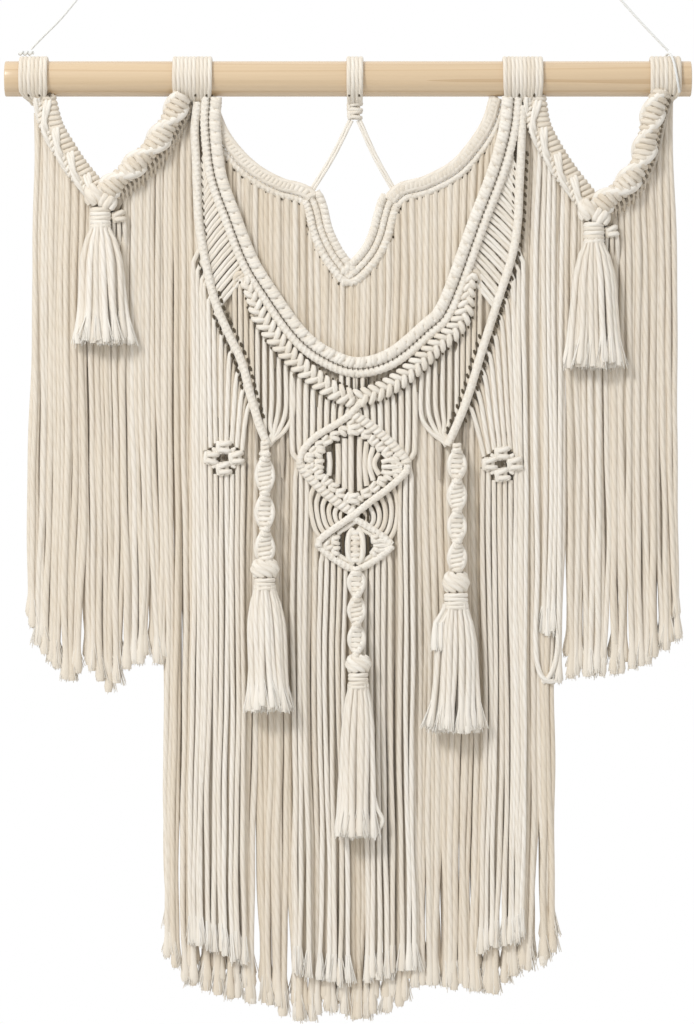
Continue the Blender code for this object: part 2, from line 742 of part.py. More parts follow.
def make_collar_strands(side, collar, row, row_half, bar, cotton):
    """Short cords that slant from the collar to the side bar, then cords that fall from the knot
    row to the side bar's tip and to the large diamond."""
    to_left = side == "left"
    below_start = from_row_start(collar)
    slanting = (below_start < -4) & (below_start > -72)
    upper_part = beside(collar, COLLAR_HALF + SEAM)[slanting]
    lower_part = beside(row, row_half + SEAM + 0.4)
    top = np.vstack([upper_part, lower_part] if to_left else [lower_part, upper_part])
    root = beside(top, STRIP)
    strands = []
    inner = beside(bar, -(SIDE_BAR_HALF + SEAM))
    reach = beside(bar, -(SIDE_BAR_HALF + 2.2))
    for drop in np.linspace(112, 158, 5):
        start = distance_at_drop(root, drop)
        target_distance = distance_at_drop(reach, drop + 22)
        target = at_distance(reach, np.array([target_distance]))[0]
        strands.append(Strand(*root_at_distance(root, start), [(target[0], target[1], CORD)]))
    bar_side = -CORD / 2 if to_left else CORD / 2
    outer_x = -92.0 if to_left else 108.0
    inwards = 1 if to_left else -1
    for number in range(4):
        x = outer_x + inwards * PITCH * number
        strands.append(straight_to(root, x, drop_at(inner, x + bar_side) - 1.0))
    tip = bar[-1] if to_left else bar[0]
    tips = ((6.4, 311.0), (11.4, 304.0), (16.4, 296.0))
    for number, (shift, end_drop) in enumerate(tips, start=4):
        x = outer_x + inwards * PITCH * number
        strands.append(Strand(*root_at_x(root, x),
                              [(x, 272.0, CORD), (tip[0] + inwards * shift, end_drop, CORD)]))
    corner = DIAMOND_LARGE.x - inwards * (DIAMOND_LARGE.half_width + 1.0)
    for number in range(7):
        x = corner + inwards * PITCH * (number + 0.35)
        end = diamond_side(DIAMOND_LARGE, x + inwards * CORD / 2, DIAMOND_HALF + GAP, below=False)
        if root[0, 0] < x - CORD / 2 and x + CORD / 2 < root[-1, 0] and end - drop_at(root, x) > 6:
            strands.append(straight_to(root, x, end - SEAM))
    comb("collar_strands_" + side, top, root, strands, NET_Y, cotton)


def make_side_strands(cotton):
    """Eight cords from each side bar into its flower knot, and eight below the flower."""
    for side, places, flower in (("left", SIDE_BAR_LEFT, FLOWER_LEFT),
                                 ("right", SIDE_BAR_RIGHT, FLOWER_RIGHT)):
        bar = smooth(places)
        kept = (bar[:, 1] > 62) & (bar[:, 1] < 300)
        top = beside(bar, SIDE_BAR_HALF + SEAM)[kept]
        root = beside(bar, SIDE_BAR_HALF + SEAM + STRIP)[kept]
        drops = [75, 128, 165, 192, 214, 236, 258, 280]
        bulges = [9.0, 4.5, 2.0, 1.0, 0.5, 0.0, 0.0, 0.0]
        above = [8.4, 12.6, 15.8, 19.4, 19.4, 15.8, 12.6, 8.4]
        outside = -1 if side == "left" else 1
        strands = []
        for number, (drop, bulge) in enumerate(zip(drops, bulges)):
            start, end = root_at_distance(root, distance_at_drop(root, drop))
            end_x = flower.x + outside * (17.2 - 4.9 * number)
            end_drop = flower.drop - above[number]
            root_x = (start[0] + end[0]) / 2
            strands.append(Strand(start, end, [
                (root_x + outside * (4.0 if number == 0 else 0.8), drop + 13, 3.6),
                ((root_x + end_x) / 2 + outside * bulge, (drop + end_drop) / 2 + 5, 3.6),
                (end_x, end_drop, 3.6)]))
        comb("side_strands_" + side, top, root, strands, NET_Y, cotton)
        make_flower("flower_" + side, flower, cotton)
        top = np.array([(flower.x - 20.5, flower.drop + 19.2), (flower.x + 20.5, flower.drop + 19.2)])
        root = lower(top, STRIP)
        strands = [hanging(root, flower.x + 5.0 * (number - 3.5), NET_HEM, 1.04, flower.x)
                   for number in range(8)]
        comb("flower_strands_" + side, top, root, narrowed(strands), NET_Y, cotton)


def narrowed(strands):
    """The same strands, slim enough to hang close together."""
    slim = []
    for strand in strands:
        start_x, end_x = strand.root_start[0] + 0.3, strand.root_end[0] - 0.3
        course = [(x, drop, min(width, 4.6) - 0.3) for x, drop, width in strand.course]
        slim.append(Strand((start_x, strand.root_start[1]), (end_x, strand.root_end[1]), course))
    return slim


def make_flower(name, centre, cotton):
    """Four square knots joined round a hole."""
    rings = []
    for step in range(12):
        angle = math.tau * step / 12
        on_knot = step % 3 == 0
        radius = FLOWER_RADIUS if on_knot else FLOWER_RADIUS - 1.5
        half = 6.4 if on_knot else 3.6
        deep = 4.0 if on_knot else 2.8
        out = Vector((math.cos(angle), math.sin(angle)))
        rings.append([point(centre.x + out.x * (radius + across * half), NET_Y - 1.4 + depth * deep,
                            centre.drop + out.y * (radius + across * half))
                      for across, depth in ((-1, 0), (-0.4, -1), (0.5, -1), (1, 0), (0, 0.9))])
    skin(name, rings, cotton, closed=True)


def make_diamond(name, diamond, section, steps, cotton):
    """A ridged hoop in a diamond with slightly bowed sides, of so many steps on each side."""
    angles = np.linspace(0, math.pi / 2, 60)
    size = (diamond.half_width, diamond.half_height)
    side = np.column_stack([np.cos(angles), np.sin(angles)]) ** (2 / DIAMOND_POWER) * size
    down = evenly(side, steps)
    corners = [*down[:-1], *(down[:0:-1] * (-1, 1)), *(down[:-1] * -1), *(down[:0:-1] * (1, -1))]
    rings = []
    for index, corner in enumerate(corners):
        ring = []
        for edge in section:
            scale = grown(diamond, edge.across).half_width / diamond.half_width
            height = edge.ridge if index % 2 else edge.groove
            ring.append(point(diamond.x + corner[0] * scale, BARS_Y - height,
                              diamond.drop + corner[1] * scale))
        rings.append(ring)
    skin(name, rings, cotton, closed=True)


def make_diamonds(cotton):
    large = table(Edge, (-9.5, 0, 0), (-5.5, 1.0, 3.4), (0.0, 4.0, 4.0), (4.2, 0, 0), (-1.5, -3.0, -3.0))
    small = table(Edge, (-3.6, 0, 0), (0.0, 3.6, 3.6), (3.6, 0, 0), (0, -3.0, -3.0))
    make_diamond("diamond_large", DIAMOND_LARGE, large, 10, cotton)
    make_diamond("diamond_small", DIAMOND_SMALL, small, 6, cotton)
    button = head_levels(BUTTON.x, BUTTON.drop - 11.5,
                         [(0, 4.5, 2.6, -7.4), (4, 8.6, 4.6, -7.4), (11.5, 9.4, 5.2, -7.4),
                          (19, 8.6, 4.6, -7.4), (23, 4.5, 2.6, -7.4)])
    skin("diamond_button", [oval(level) for level in button], cotton)

    inset = -(9.5 + GAP)
    xs = np.linspace(DIAMOND_LARGE.x - 27, DIAMOND_LARGE.x + 27, 13)
    top = np.array([(x, diamond_side(DIAMOND_LARGE, x, inset, below=False)) for x in xs])
    root = lower(top, STRIP_ON_SLOPE)
    strands = [straight_to(root, x, diamond_side(DIAMOND_LARGE, abs(x - DIAMOND_LARGE.x) + 2.1
                                                 + DIAMOND_LARGE.x, inset, below=True) - SEAM)
               for x in places_across(xs[0], xs[-1], 7.2)]
    comb("diamond_strands", top, root, strands, BARS_Y + 0.6, cotton)
    for side, outside in (("left", -1), ("right", 1)):
        make_strands_under(side, outside, cotton)


def make_strands_under(side, outside, cotton):
    """Cords from the lower sides of both diamonds."""
    for name, diamond, near, far, edge in (("large", DIAMOND_LARGE, 9.0, 51.5, 4.2),
                                           ("small", DIAMOND_SMALL, 9.5, 36.0, 3.6)):
        start, end = sorted((diamond.x + outside * near, diamond.x + outside * far))
        xs = np.linspace(start, end, 12)
        top = np.array([(x, diamond_side(diamond, x, edge + SEAM, below=True)) for x in xs])
        root = lower(top, STRIP_ON_SLOPE if name == "large" else STRIP)
        strands = []
        for x in places_across(start, end):
            from_small = abs(x - DIAMOND_SMALL.x)
            if name == "small" or from_small > DIAMOND_SMALL.half_width + 7.5:
                strands.append(hanging(root, x, NET_HEM))
                continue
            nearest = DIAMOND_SMALL.x + (from_small - CORD / 2) * outside
            end_drop = diamond_side(DIAMOND_SMALL, nearest, 3.6 + GAP, below=False)
            if end_drop - drop_at(root, x) > 5 and from_small < DIAMOND_SMALL.half_width - 2:
                strands.append(straight_to(root, x, end_drop - SEAM))
        comb(f"diamond_{name}_strands_{side}", top, root, strands, NET_Y, cotton)


def make_spirals(cotton):
    """Half knot spirals, each with a berry knot, a wrap and a tassel at its end."""
    rows = ((("left", -72.5, 322.0, 4), 22.0, -68.0, 552.0, 8.0),
            (("centre", 7.4, 431.3, 3), 19.0, 8.8, 662.0, 8.6),
            (("right", 93.5, 323.1, 4), 26.0, 96.0, 571.0, 8.0))
    for (side, x, top, turns), skirt_half, foot_x, foot, wrap_half in rows:
        steps = turns * 4
        spiral_length = turns * SPIRAL_PITCH - 6.0
        levels = []
        for step in range(steps):
            share = step / steps
            size = 0.5 if step == 0 else 1.0
            y = SPIRAL_TOP_Y + (TASSEL_Y - SPIRAL_TOP_Y) * share if step else BARS_Y - 0.8
            levels.append(Level(x, y,
                                top + spiral_length * share, 8.8 * size, 5.4 * size,
                                math.pi * (step + 1 - steps) / 4))
        berry_top = top + spiral_length
        y = TASSEL_Y
        levels += head_levels(x, berry_top, [(0, 7.0, 6.0, y), (5, 12.5, 9.0, y), (13, 13.2, 9.4, y),
                                             (20, 8.8, 7.4, y), (21.5, wrap_half + 1, 8.0, y),
                                             (30, wrap_half + 1, 8.0, y)])
        start = levels[-1].drop
        skirts = [Skirt((x + foot_x) / 2, y, start + 16, 12.0, 8.8, 6.4),
                  Skirt(foot_x, y - 0.4, foot, skirt_half, 10.4, 9.0)]
        tassel("spiral_" + side, levels, skirts, cotton)


def main():
    for obj in list(bpy.data.objects):
        bpy.data.objects.remove(obj)
    pine = plain_material("pine", (0.80, 0.62, 0.40), 0.55)
    cotton = plain_material("cotton", (0.86, 0.82, 0.73), 0.9)
    thread = plain_material("thread", (0.84, 0.84, 0.82), 0.8)
    make_rod(pine)
    make_loops(cotton)
    make_hanger(thread)
    make_centre_tie(cotton)
    make_neckline(cotton)
    make_fringes(cotton)
    make_swags(cotton)
    make_collar(cotton)
    make_side_strands(cotton)
    make_diamonds(cotton)
    make_spirals(cotton)


main()
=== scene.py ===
"""The looks of a macrame wall hanging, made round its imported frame.

Every loop, bar, knot, spiral and tassel is laid in cord: a middle line with a radius at each point.
One Geometry Nodes tree sweeps the cords and frays the ends of those that hang free. A place is
(x, drop) in millimetres: across from the rod's middle, and below the rod's axis. Depth is y, with the
front towards -Y. Lines are kept as rows of (x, y, drop), and become metres when a mesh is written.
"""
import math
from typing import NamedTuple

import bmesh
import bpy
import numpy as np
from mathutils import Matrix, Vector


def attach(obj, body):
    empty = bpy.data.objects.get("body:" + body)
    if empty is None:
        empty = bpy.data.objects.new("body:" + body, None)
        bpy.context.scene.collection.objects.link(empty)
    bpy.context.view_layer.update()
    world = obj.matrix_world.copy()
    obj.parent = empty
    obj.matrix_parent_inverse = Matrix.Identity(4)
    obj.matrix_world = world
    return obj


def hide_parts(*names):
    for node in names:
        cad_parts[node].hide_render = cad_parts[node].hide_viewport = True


MM = 0.001
TAU = math.tau

ROD_LENGTH = 600.0
ROD_RADIUS = 15.5
ROD_EDGE = 1.2
ROD_SIDES = 72

# Thickness and spacing of the cords that hang, and the radii of some others.
CORD = 4.2
PITCH = 6.7
RING_SPACING = 11.0
NET_RADIUS = 2.3
ROPE_TURN = 2.3
WRAP_PITCH = 3.5
LOOP_RADIUS = 2.1
HANGER_RADIUS = 1.1

# Middle of each layer in depth, from the strands at the back to the tassels in front.
LAST_Y = 7.0
BACK_Y = 1.8
CURTAIN_Y = 0.0
NET_Y = -5.2
SWAG_BAND_Y = -6.0
BARS_Y = -7.4
SWAG_TASSEL_Y = -9.8
SWAG_TWIST_Y = -10.4
SPIRAL_TOP_Y = -11.8
TASSEL_Y = -18.0

# How pale the cords are, from 0 to 1, where no tone of their own is given.
PLAIN_TONES = (0.45, 1.0)
NET_TONES = (0.6, 1.0)
BAR_TONES = (0.7, 1.0)
KNOT_TONES = (0.75, 1.0)

# A frayed end: a soft brush as the cord opens, and the fibres round it.
FRAYED_LENGTH = 27.0
FRAYED_SPREAD = 3.0
BRUSH_STEPS = np.array([6.0, 13.0, 19.5, 24.0])
BRUSH_WIDTHS = np.array([1.1, 1.42, 1.64, 1.2])
FIBRES = 18
FIBRE_RADIUS = 0.6
FIBRE_BEND = 1.6
TUFT_RADIUS = 2.1

# The view, the light and the floor, in metres and watts.
VIEW_HEIGHT = 0.896
VIEW_MIDDLE = (-0.0009, -0.3789)
VIEW_DISTANCE = 4.0
LIGHT_PLACE = (-1.6, -2.4, 1.6)
LIGHT_TARGET = (0, 0, -0.35)
LIGHT_WIDTH = 0.8
LIGHT_POWER = 66.0
FLOOR_WIDTH = 3.0
FLOOR_HEIGHT = -1.35

chance = np.random.default_rng(7)


class Place(NamedTuple):
    x: float
    drop: float


class Group(NamedTuple):
    """Lark's head loops side by side on the rod."""
    name: str
    start: float
    end: float
    cords: int


class Cord(NamedTuple):
    """A cord's middle line as rows of (x, y, drop), and its radius at each.

    Fray is how far its end spreads. Tone is how pale it is, and is drawn at random if below 0. Shade is
    how much painted shade darkens it: the dark of a gap, or a painted shadow.
    """
    line: np.ndarray
    radius: np.ndarray
    closed: bool = False
    fray: float = 0.0
    tone: float = -1.0
    shade: float = 0.0


class Diamond(NamedTuple):
    """The middle line of a diamond of cord."""
    x: float
    drop: float
    half_width: float
    half_height: float


class Fringe(NamedTuple):
    """A side fringe: how much its strands spread, and the line of their roots."""
    name: str
    spread: float
    root: list


class Gather(NamedTuple):
    """A tassel's wrap and foot: their middles, drops and half sizes."""
    x: float
    y: float
    top: float
    half_width: float
    half_depth: float
    foot_x: float
    foot: float
    foot_half_width: float
    foot_half_depth: float


class Spiral(NamedTuple):
    """A spiral and what hangs from it: the drops of its neck, its first edge-on place and its end,
    then its ball, its wrap and its tassel's foot."""
    side: str
    x: float
    neck: float
    start: float
    narrow: float
    end: float
    half_turn: float
    half_width: float
    ball_x: float
    ball: float
    ball_half_width: float
    ball_half_height: float
    turns: int
    wrap_half: float
    foot_x: float
    foot: float
    foot_half_width: float


def table(row_type, *rows):
    return [row_type(*row) for row in rows]


# ------------------------------------------------------------------ the part's own places

LOOP_GROUPS = table(Group, ("loops_end_left", -287, -262.5, 7), ("loops_inner_left", -153, -119, 10),
                    ("loops_centre", -1, 13, 4), ("loops_inner_right", 135.5, 170, 10),
                    ("loops_end_right", 264, 290.5, 7))
# Across: where the cords of the end groups draw in to, and painted shade in the gaps between cords under
# the rod.
LOOP_FEET = {"loops_end_left": -269.0, "loops_end_right": 273.0}
LOOP_GAP_SHADES = (-278.5, -269.0, -260.5, -146.0, -133.3, -123.6, 1.0, 10.0, 149.3, 162.4, 266.8, 283.0)

NECKLINE = table(Place, (-124.2, 17.4), (-113, 47), (-98, 68), (-80, 84), (-59, 95), (-45, 98.5),
                 (-35, 103.5), (-29.8, 114), (-25.0, 134), (-16.2, 153), (-7, 166), (-1.6, 172.6),
                 (0.8, 175), (3.2, 173.2), (10.5, 167), (22, 153.5), (29.5, 138), (34, 121),
                 (38.5, 108.0), (47.5, 99), (58, 96), (70, 92.5), (94, 79.5), (112, 60), (125, 39),
                 (131.8, 17.4))
# Across: the neckline's two peaks, and the bottom of its V.
NECK_PEAKS = (-34.0, 39.0)
NECK_DIP = 0.8

COLLAR = table(Place, (-119, 16.6), (-120, 43), (-115, 85), (-102, 122), (-87, 160), (-70, 188),
               (-45, 223), (-22, 242), (6.3, 252.5), (37, 245), (68, 220), (87, 198), (114, 125),
               (131, 80), (140.5, 44), (143.4, 16.6))
COLLAR_MIDDLE = 6.3

SIDE_BAR_LEFT = table(Place, (-131.5, 21), (-134.0, 45), (-132.8, 70), (-132, 97), (-129.5, 133),
                      (-118, 189), (-105.5, 220.5), (-93.2, 247), (-86.5, 272), (-82, 288), (-77, 304),
                      (-70, 321))
SIDE_BAR_RIGHT = table(Place, (87, 321), (103, 283), (117, 238), (130, 197), (142.6, 158),
                       (148, 128), (149.6, 97), (151.5, 57), (152.5, 24))

SWAG_BANDS = (("left", table(Place, (-266, 15.8), (-259, 42), (-249, 60), (-238, 77), (-226, 92),
                             (-219, 100))),
              ("right", table(Place, (162.4, 15.8), (167, 42), (177, 62), (189, 81), (203, 99),
                              (210, 108))))
SWAG_TWISTS = (("left", table(Place, (-212, 100), (-205, 93), (-193, 82), (-178, 68), (-165, 53),
                              (-155.5, 37), (-149.5, 25), (-144.5, 15.0))),
               ("right", table(Place, (219, 113), (226, 106), (239, 96), (252, 80), (260, 58),
                               (264, 38), (268.5, 24), (273.0, 11.0))))

# Swag tassels: the middle and top of the gathering, and the middle and drop of the foot.
SWAG_TASSELS = (("left", -216.0, 89.0, -215.0, 232.0), ("right", 214.6, 102.0, 215.3, 253.0))

SHOULDER_LEFT = table(Place, (-161, 74), (-151, 54), (-141, 36))
SHOULDER_RIGHT = table(Place, (149, 30), (157, 44), (167, 62), (178, 80), (187, 94))
FRINGES = table(
    Fringe,
    ("left_outer", 1.12, table(Place, (-274.5, 29), (-269, 50), (-259, 70), (-247, 88), (-234, 105),
                               (-214.5, 118))),
    ("left_inner", 1.0, table(Place, (-213.5, 114), (-198, 101), (-184, 87), (-163.5, 66))),
    ("right_inner", 1.0, table(Place, (189.5, 100), (202, 112), (215, 120))),
    ("right_outer", 1.12, table(Place, (215, 121.5), (240, 108), (256, 92), (266, 66), (273, 46),
                                (281, 31))))
FRINGE_MIDDLE = 217.0

# Painted shade in the gaps beside each side bar: how far across, from which drop to which, and their
# radius.
SIDE_BAR_GAP_SHADES = {"left": ((-5.0, 62, 140, 0.85), (5.6, 158, 172, 0.95), (5.7, 203, 272, 1.6),
                          (-5.7, 186, 300, 1.6)),
                 "right": ((5.5, 62, 300, 1.45), (-5.0, 46, 120, 0.85), (-5.7, 224, 312, 1.6))}
# Under each half of the collar: short cords at its foot, and painted shade between the longer ones.
COLLAR_FOOT_CORDS = {"left": (0.2, 6.2, 12.2), "right": (0.4, 6.4)}
NET_GAP_SHADES = {"left": ((-64.0, 12.0), (-48.0, 12.0), (-27.0, 11.0), (-12.0, 8.0)),
            "right": ((94.6, 9.0), (79.5, 13.0), (60.3, 10.0), (41.0, 9.0))}

DIAMOND_LARGE = Diamond(4.8, 336.8, 47.0, 42.0)
DIAMOND_SMALL = Diamond(6.6, 408.2, 32.0, 21.6)
DIAMOND_POWER = 1.2
UPPER_LEFT_ROPE = [(-42.4, 337.5), (-41.6, 330.5), (-37.6, 322.6), (-27.6, 312.6), (-13.0, 303.8),
                   (-1.0, 296.0), (6.0, 289.0), (11.0, 283.0), (16.0, 278.0)]
CROSSING_ROPE = [(51.8, 337.6), (50.6, 344.0), (44.5, 350.0), (33.8, 359.4), (19.1, 370.2), (5.6, 381.0),
                 (-6.7, 389.6), (-18.6, 398.0), (-25.6, 404.6), (-25.6, 409.0)]
SMALL_RIGHT_ROPE = [(2.5, 382.0), (9.0, 386.6), (19.0, 392.6), (30.0, 400.0), (38.2, 407.6)]
LARGE_KNOTS = ((-34.0, 331.5), (-34.0, 341.5), (-25.0, 327.5), (-25.2, 337.0), (-25.0, 346.5),
               (43.5, 331.0), (43.5, 345.6), (34.5, 326.5))
# Painted shade in gaps between the large diamond's knots.
LARGE_GAP_SHADES = ((-29.4, 336.6), (-20.4, 332.0), (-20.4, 342.0), (38.5, 330.0), (38.0, 348.0))
SMALL_KNOTS = ((-17.4, 408.2, 4.6), (-10.8, 403.6, 4.4), (-10.8, 412.8, 4.4), (23.8, 402.6, 4.4),
               (23.8, 413.8, 4.4))
# Painted shade in gaps between the small diamond's ropes and knots.
SMALL_GAP_SHADES = ((-10.4, 397.8), (-10.4, 418.2), (-22.4, 405.4), (24.0, 397.2), (25.0, 419.4), (19.8, 408.2))
# Cords inside the large diamond: where each stands, and how far it bows to the right.
INNER_CORDS = ((-16.4, 0.8), (-8.6, 0.4), (-2.9, 0.0), (2.6, 0.0), (10.2, -0.4), (15.4, -1.6), (20.3, -2.8),
               (25.0, -3.8))
BUTTON = Place(6.4, 409.0)
# Turns of the button knot: how far down each is, its half width, lean and tone.
BUTTON_TURNS = ((1.0, 3.2, 0.6, 1.0), (5.6, 3.8, -0.6, 0.8), (10.4, 3.6, 0.6, 0.4), (15.6, 3.6, -0.6, 0.4),
                (20.4, 3.8, 0.6, 0.8), (25.0, 3.2, -0.6, 1.0))
FLOWER_LEFT = Place(-108.5, 331.6)
FLOWER_RIGHT = Place(134.7, 337.0)
# Where the cords to a flower knot leave the side bar, and how far above its middle each one ends.
FLOWER_CORD_DROPS = (176, 190, 204, 219, 235, 251, 267, 283)
FLOWER_CORD_RISES = (6.4, 9.0, 12.6, 14.0, 14.0, 12.6, 9.0, 6.4)

SPIRALS = table(
    Spiral,
    ("left", -72.5, 317.0, 326.0, 331.0, 422.0, 32.0, 8.6, -72.5, 428.4, 13.0, 9.7, 3, 9.6, -68.0, 552.0,
     20.5),
    ("centre", 7.4, 427.0, 431.0, 452.4, 506.0, 24.7, 8.0, 8.9, 511.4, 11.9, 9.2, 4, 9.3, 7.6, 662.0, 17.5),
    ("right", 95.0, 319.0, 324.0, 351.0, 432.0, 27.0, 8.4, 94.0, 440.3, 12.4, 10.8, 4, 11.0, 93.4, 571.0,
     21.5))

HANGER_LEFT = table(Place, (-277.5, -26.0), (-268, -36), (-252, -52), (-237, -70), (-225, -85))
HANGER_RIGHT = table(Place, (280.3, -24.6), (272, -33), (255, -51), (238, -70), (226, -84))
# The hanger's wrap beside the left loops, and the middle of its turn over the right ones.
WRAP_START = -287.8
WRAP_LENGTH = 12.4
WRAP_DROP = -22.5
WRAP_RADIUS = 1.25
TURN_RADIUS = 21.1 + HANGER_RADIUS
TIE_CORDS = (("left", [(2.6, 36.0), (-13.25, 67.5), (-31.5, 97.0)]),
             ("right", [(9.4, 36.0), (24.0, 68.5), (41.0, 99.0)]))

CURTAIN_HEM = np.array([(-165, 764), (-142, 793), (-100, 807), (-66, 813), (-50, 827), (-32, 826),
                        (-22, 817), (10, 826), (44, 817), (57, 794), (79, 797), (132, 804), (145, 788),
                        (170, 780), (184, 762)])
# Where the curtain's cords start across, and where they settle.
CURTAIN_ROOTS = (-161.0, -148.0, 150.0, 190.0)
CURTAIN_SETTLED = (-162.0, -148.0, 150.0, 176.5)
CURTAIN_FLARE = 6.0
# How much paler a side fringe is than the curtain, whose lower tones are painted shade.
FRINGE_PALER = 0.2
# Layers of a curtain from front to back: shift across, depth, radius, how much shorter, and tones, which
# differ at random and are lower further back as painted shade.
CURTAIN_LAYERS = ((0.0, CURTAIN_Y, 2.8, 0.0, (0.0, 0.55)), (PITCH / 2, BACK_Y, 2.9, 12.0, (0.0, 0.4)),
                  (0.0, LAST_Y, 3.5, 22.0, (0.0, 0.2)))
FRINGE_HEM = np.array([(-285, 474), (-270, 500), (-246, 531), (-226, 523), (-210, 540), (-192, 516),
                       (-160, 517), (172, 528), (236, 523), (262, 514), (282, 500), (294, 472)])
NET_HEM = np.array([(-150, 752), (-90, 778), (0, 796), (100, 775), (170, 748)])
# How many cords a tassel has in each ring, and how far out the ring is.
TASSEL_RINGS = ((1.0, 14), (0.76, 12), (0.35, 5))

# ------------------------------------------------------------------ lines in the (x, drop) plane

def smooth(places, samples=14):
    """Many points on a smooth curve through a table's places."""
    knots = [np.array(place, dtype=float) for place in places]
    knots = [2 * knots[0] - knots[1]] + knots + [2 * knots[-1] - knots[-2]]
    points = []
    for before, start, end, after in zip(knots, knots[1:], knots[2:], knots[3:]):
        for step in range(samples):
            t = step / samples
            points.append(0.5 * (2 * start + (end - before) * t
                                 + (2 * before - 5 * start + 4 * end - after) * t ** 2
                                 + (3 * start - before - 3 * end + after) * t ** 3))
    points.append(knots[-2])
    return np.array(points)


def travelled(line):
    """Distance along a line at each of its points."""
    return np.concatenate([[0.0], np.cumsum(np.linalg.norm(np.diff(line, axis=0), axis=1))])


def outward(line):
    """The unit direction across a flat line, to its lower and outer side."""
    ahead = np.gradient(line, axis=0)
    ahead /= np.linalg.norm(ahead, axis=1)[:, None]
    return np.column_stack([-ahead[:, 1], ahead[:, 0]])


def beside(line, distance):
    return line + outward(line) * np.reshape(distance, (-1, 1))


def drop_at(line, x):
    return float(np.interp(x, line[:, 0], line[:, 1]))


def part_between(line, low, high):
    """The stretch of a line from one x to another."""
    return line[(line[:, 0] >= low) & (line[:, 0] <= high)]


def distance_at_drop(line, drop):
    along = travelled(line)
    if line[0, 1] > line[-1, 1]:
        line, along = line[::-1], along[::-1]
    return float(np.interp(drop, line[:, 1], along))


def at_distance(line, distance):
    along = travelled(line)
    return np.array([np.interp(distance, along, line[:, axis]) for axis in (0, 1)])


def at_drop(line, drop):
    """The place where a line reaches a drop."""
    return at_distance(line, distance_at_drop(line, drop))


def places_across(start, end):
    """Even places for hanging cords, from half a cord inside each end."""
    room = end - start - CORD - 1.2
    count = max(1, int(room / PITCH))
    return [start + CORD / 2 + 0.6 + room * index / count for index in range(count + 1)]


def diamond_side(diamond, x, out, below):
    """Drop at x of a diamond's lower or upper side, moved out by a distance."""
    scale = 1 + out * math.hypot(1 / diamond.half_width, 1 / diamond.half_height)
    across = min(abs(x - diamond.x) / (diamond.half_width * scale), 1.0)
    rise = (1 - across ** DIAMOND_POWER) ** (1 / DIAMOND_POWER) * diamond.half_height * scale
    return diamond.drop + rise if below else diamond.drop - rise


def diamond_quarter(diamond, right, below):
    """A diamond's side from left to right, as a flat line."""
    angles = np.linspace(0.0, math.pi / 2, 26)
    side = np.column_stack([np.cos(angles), np.sin(angles)]) ** (2 / DIAMOND_POWER)
    side *= (diamond.half_width, diamond.half_height)
    side *= (1 if right else -1, 1 if below else -1)
    side += (diamond.x, diamond.drop)
    return side[np.argsort(side[:, 0])]


# ------------------------------------------------------------------ cords laid on bars

class Bar:
    """The middle line of a knotted bar, and its depth from one end to the other."""

    def __init__(self, line, y, end_y=None):
        self.line = smooth(line) if isinstance(line, list) else line
        self.steps = travelled(self.line)
        self.length = self.steps[-1]
        self.outer = outward(self.line)
        self.depths = np.linspace(y, y if end_y is None else end_y, len(self.line))

    def at(self, along, across, out):
        """Rows of (x, y, drop): so far along, across to the outer side, and out to the front."""
        along, across, out = np.broadcast_arrays(np.atleast_1d(along), across, out)
        x, drop, side_x, side_drop, y = (
            np.interp(along, self.steps, column)
            for column in (*self.line.T, *self.outer.T, self.depths))
        return np.column_stack([x + across * side_x, y - out, drop + across * side_drop])

    def spots(self, pitch, start=0.0, end=0.0):
        """Even distances along the bar at about a pitch."""
        room = self.length - start - end
        count = max(1, round(room / pitch))
        return start + (np.arange(count) + 0.5) * room / count


def run(bar, across, out, radius, start=0.0, end=0.0, spacing=5.0, tone=-1.0):
    """A cord that runs along a bar."""
    along = np.linspace(start, bar.length - end, max(3, round(bar.length / spacing)))
    return Cord(bar.at(along, across, out), np.full(len(along), radius), tone=tone)


def loop(bar, along, across, half_width, half_depth, radius, lean, turn=0.0, out=0.0, tone=-1.0):
    """A closed turn of cord round a bar. It leans along the bar, and turns about it."""
    angles = np.arange(8) * TAU / 8 + TAU / 16
    wide = half_width * np.cos(angles) / math.cos(TAU / 16)
    deep = half_depth * np.sin(angles) / math.cos(TAU / 16)
    line = bar.at(along + lean * np.cos(angles) / 2,
                  across + wide * math.cos(turn) - deep * math.sin(turn),
                  out + wide * math.sin(turn) + deep * math.cos(turn))
    return Cord(line, np.full(8, radius), closed=True, tone=tone)


def bent(rows, radius, samples=5, **more):
    """A cord on a smooth curve through a few rows of (x, y, drop)."""
    line = smooth(rows, samples)
    return Cord(line, np.full(len(line), float(radius)), **more)


def painted_gap_shade(x, y, drop, radius, reach, shade=1.0):
    """A small dark shape of painted shade that fills a gap between cords. Reach is how far it runs each
    way.
    """
    line = np.array([x, y, drop]) + np.outer((-1, 0, 1), (reach[0], 0, reach[1]))
    return Cord(line, radius * np.array([0.55, 1.0, 0.55]), shade=shade)


def painted_gap_shades(bar, across, out, pitch, radius, start=0.0, end=0.0, reach=(0.0, 1.2)):
    """Dark shapes of painted shade in a row of small gaps beside a bar."""
    return [painted_gap_shade(*bar.at(along, across, out)[0], radius, reach)
            for along in bar.spots(pitch, start, end)]


def rope_edge(bar, across, out, radius, relief=0.3, pitch=4.3):
    """A round core with close turns of cord over it."""
    half = radius - ROPE_TURN
    return [run(bar, across, out, radius - relief)] + [
        loop(bar, along, across, half, half, ROPE_TURN, lean=1.4, out=out) for along in bar.spots(pitch)]


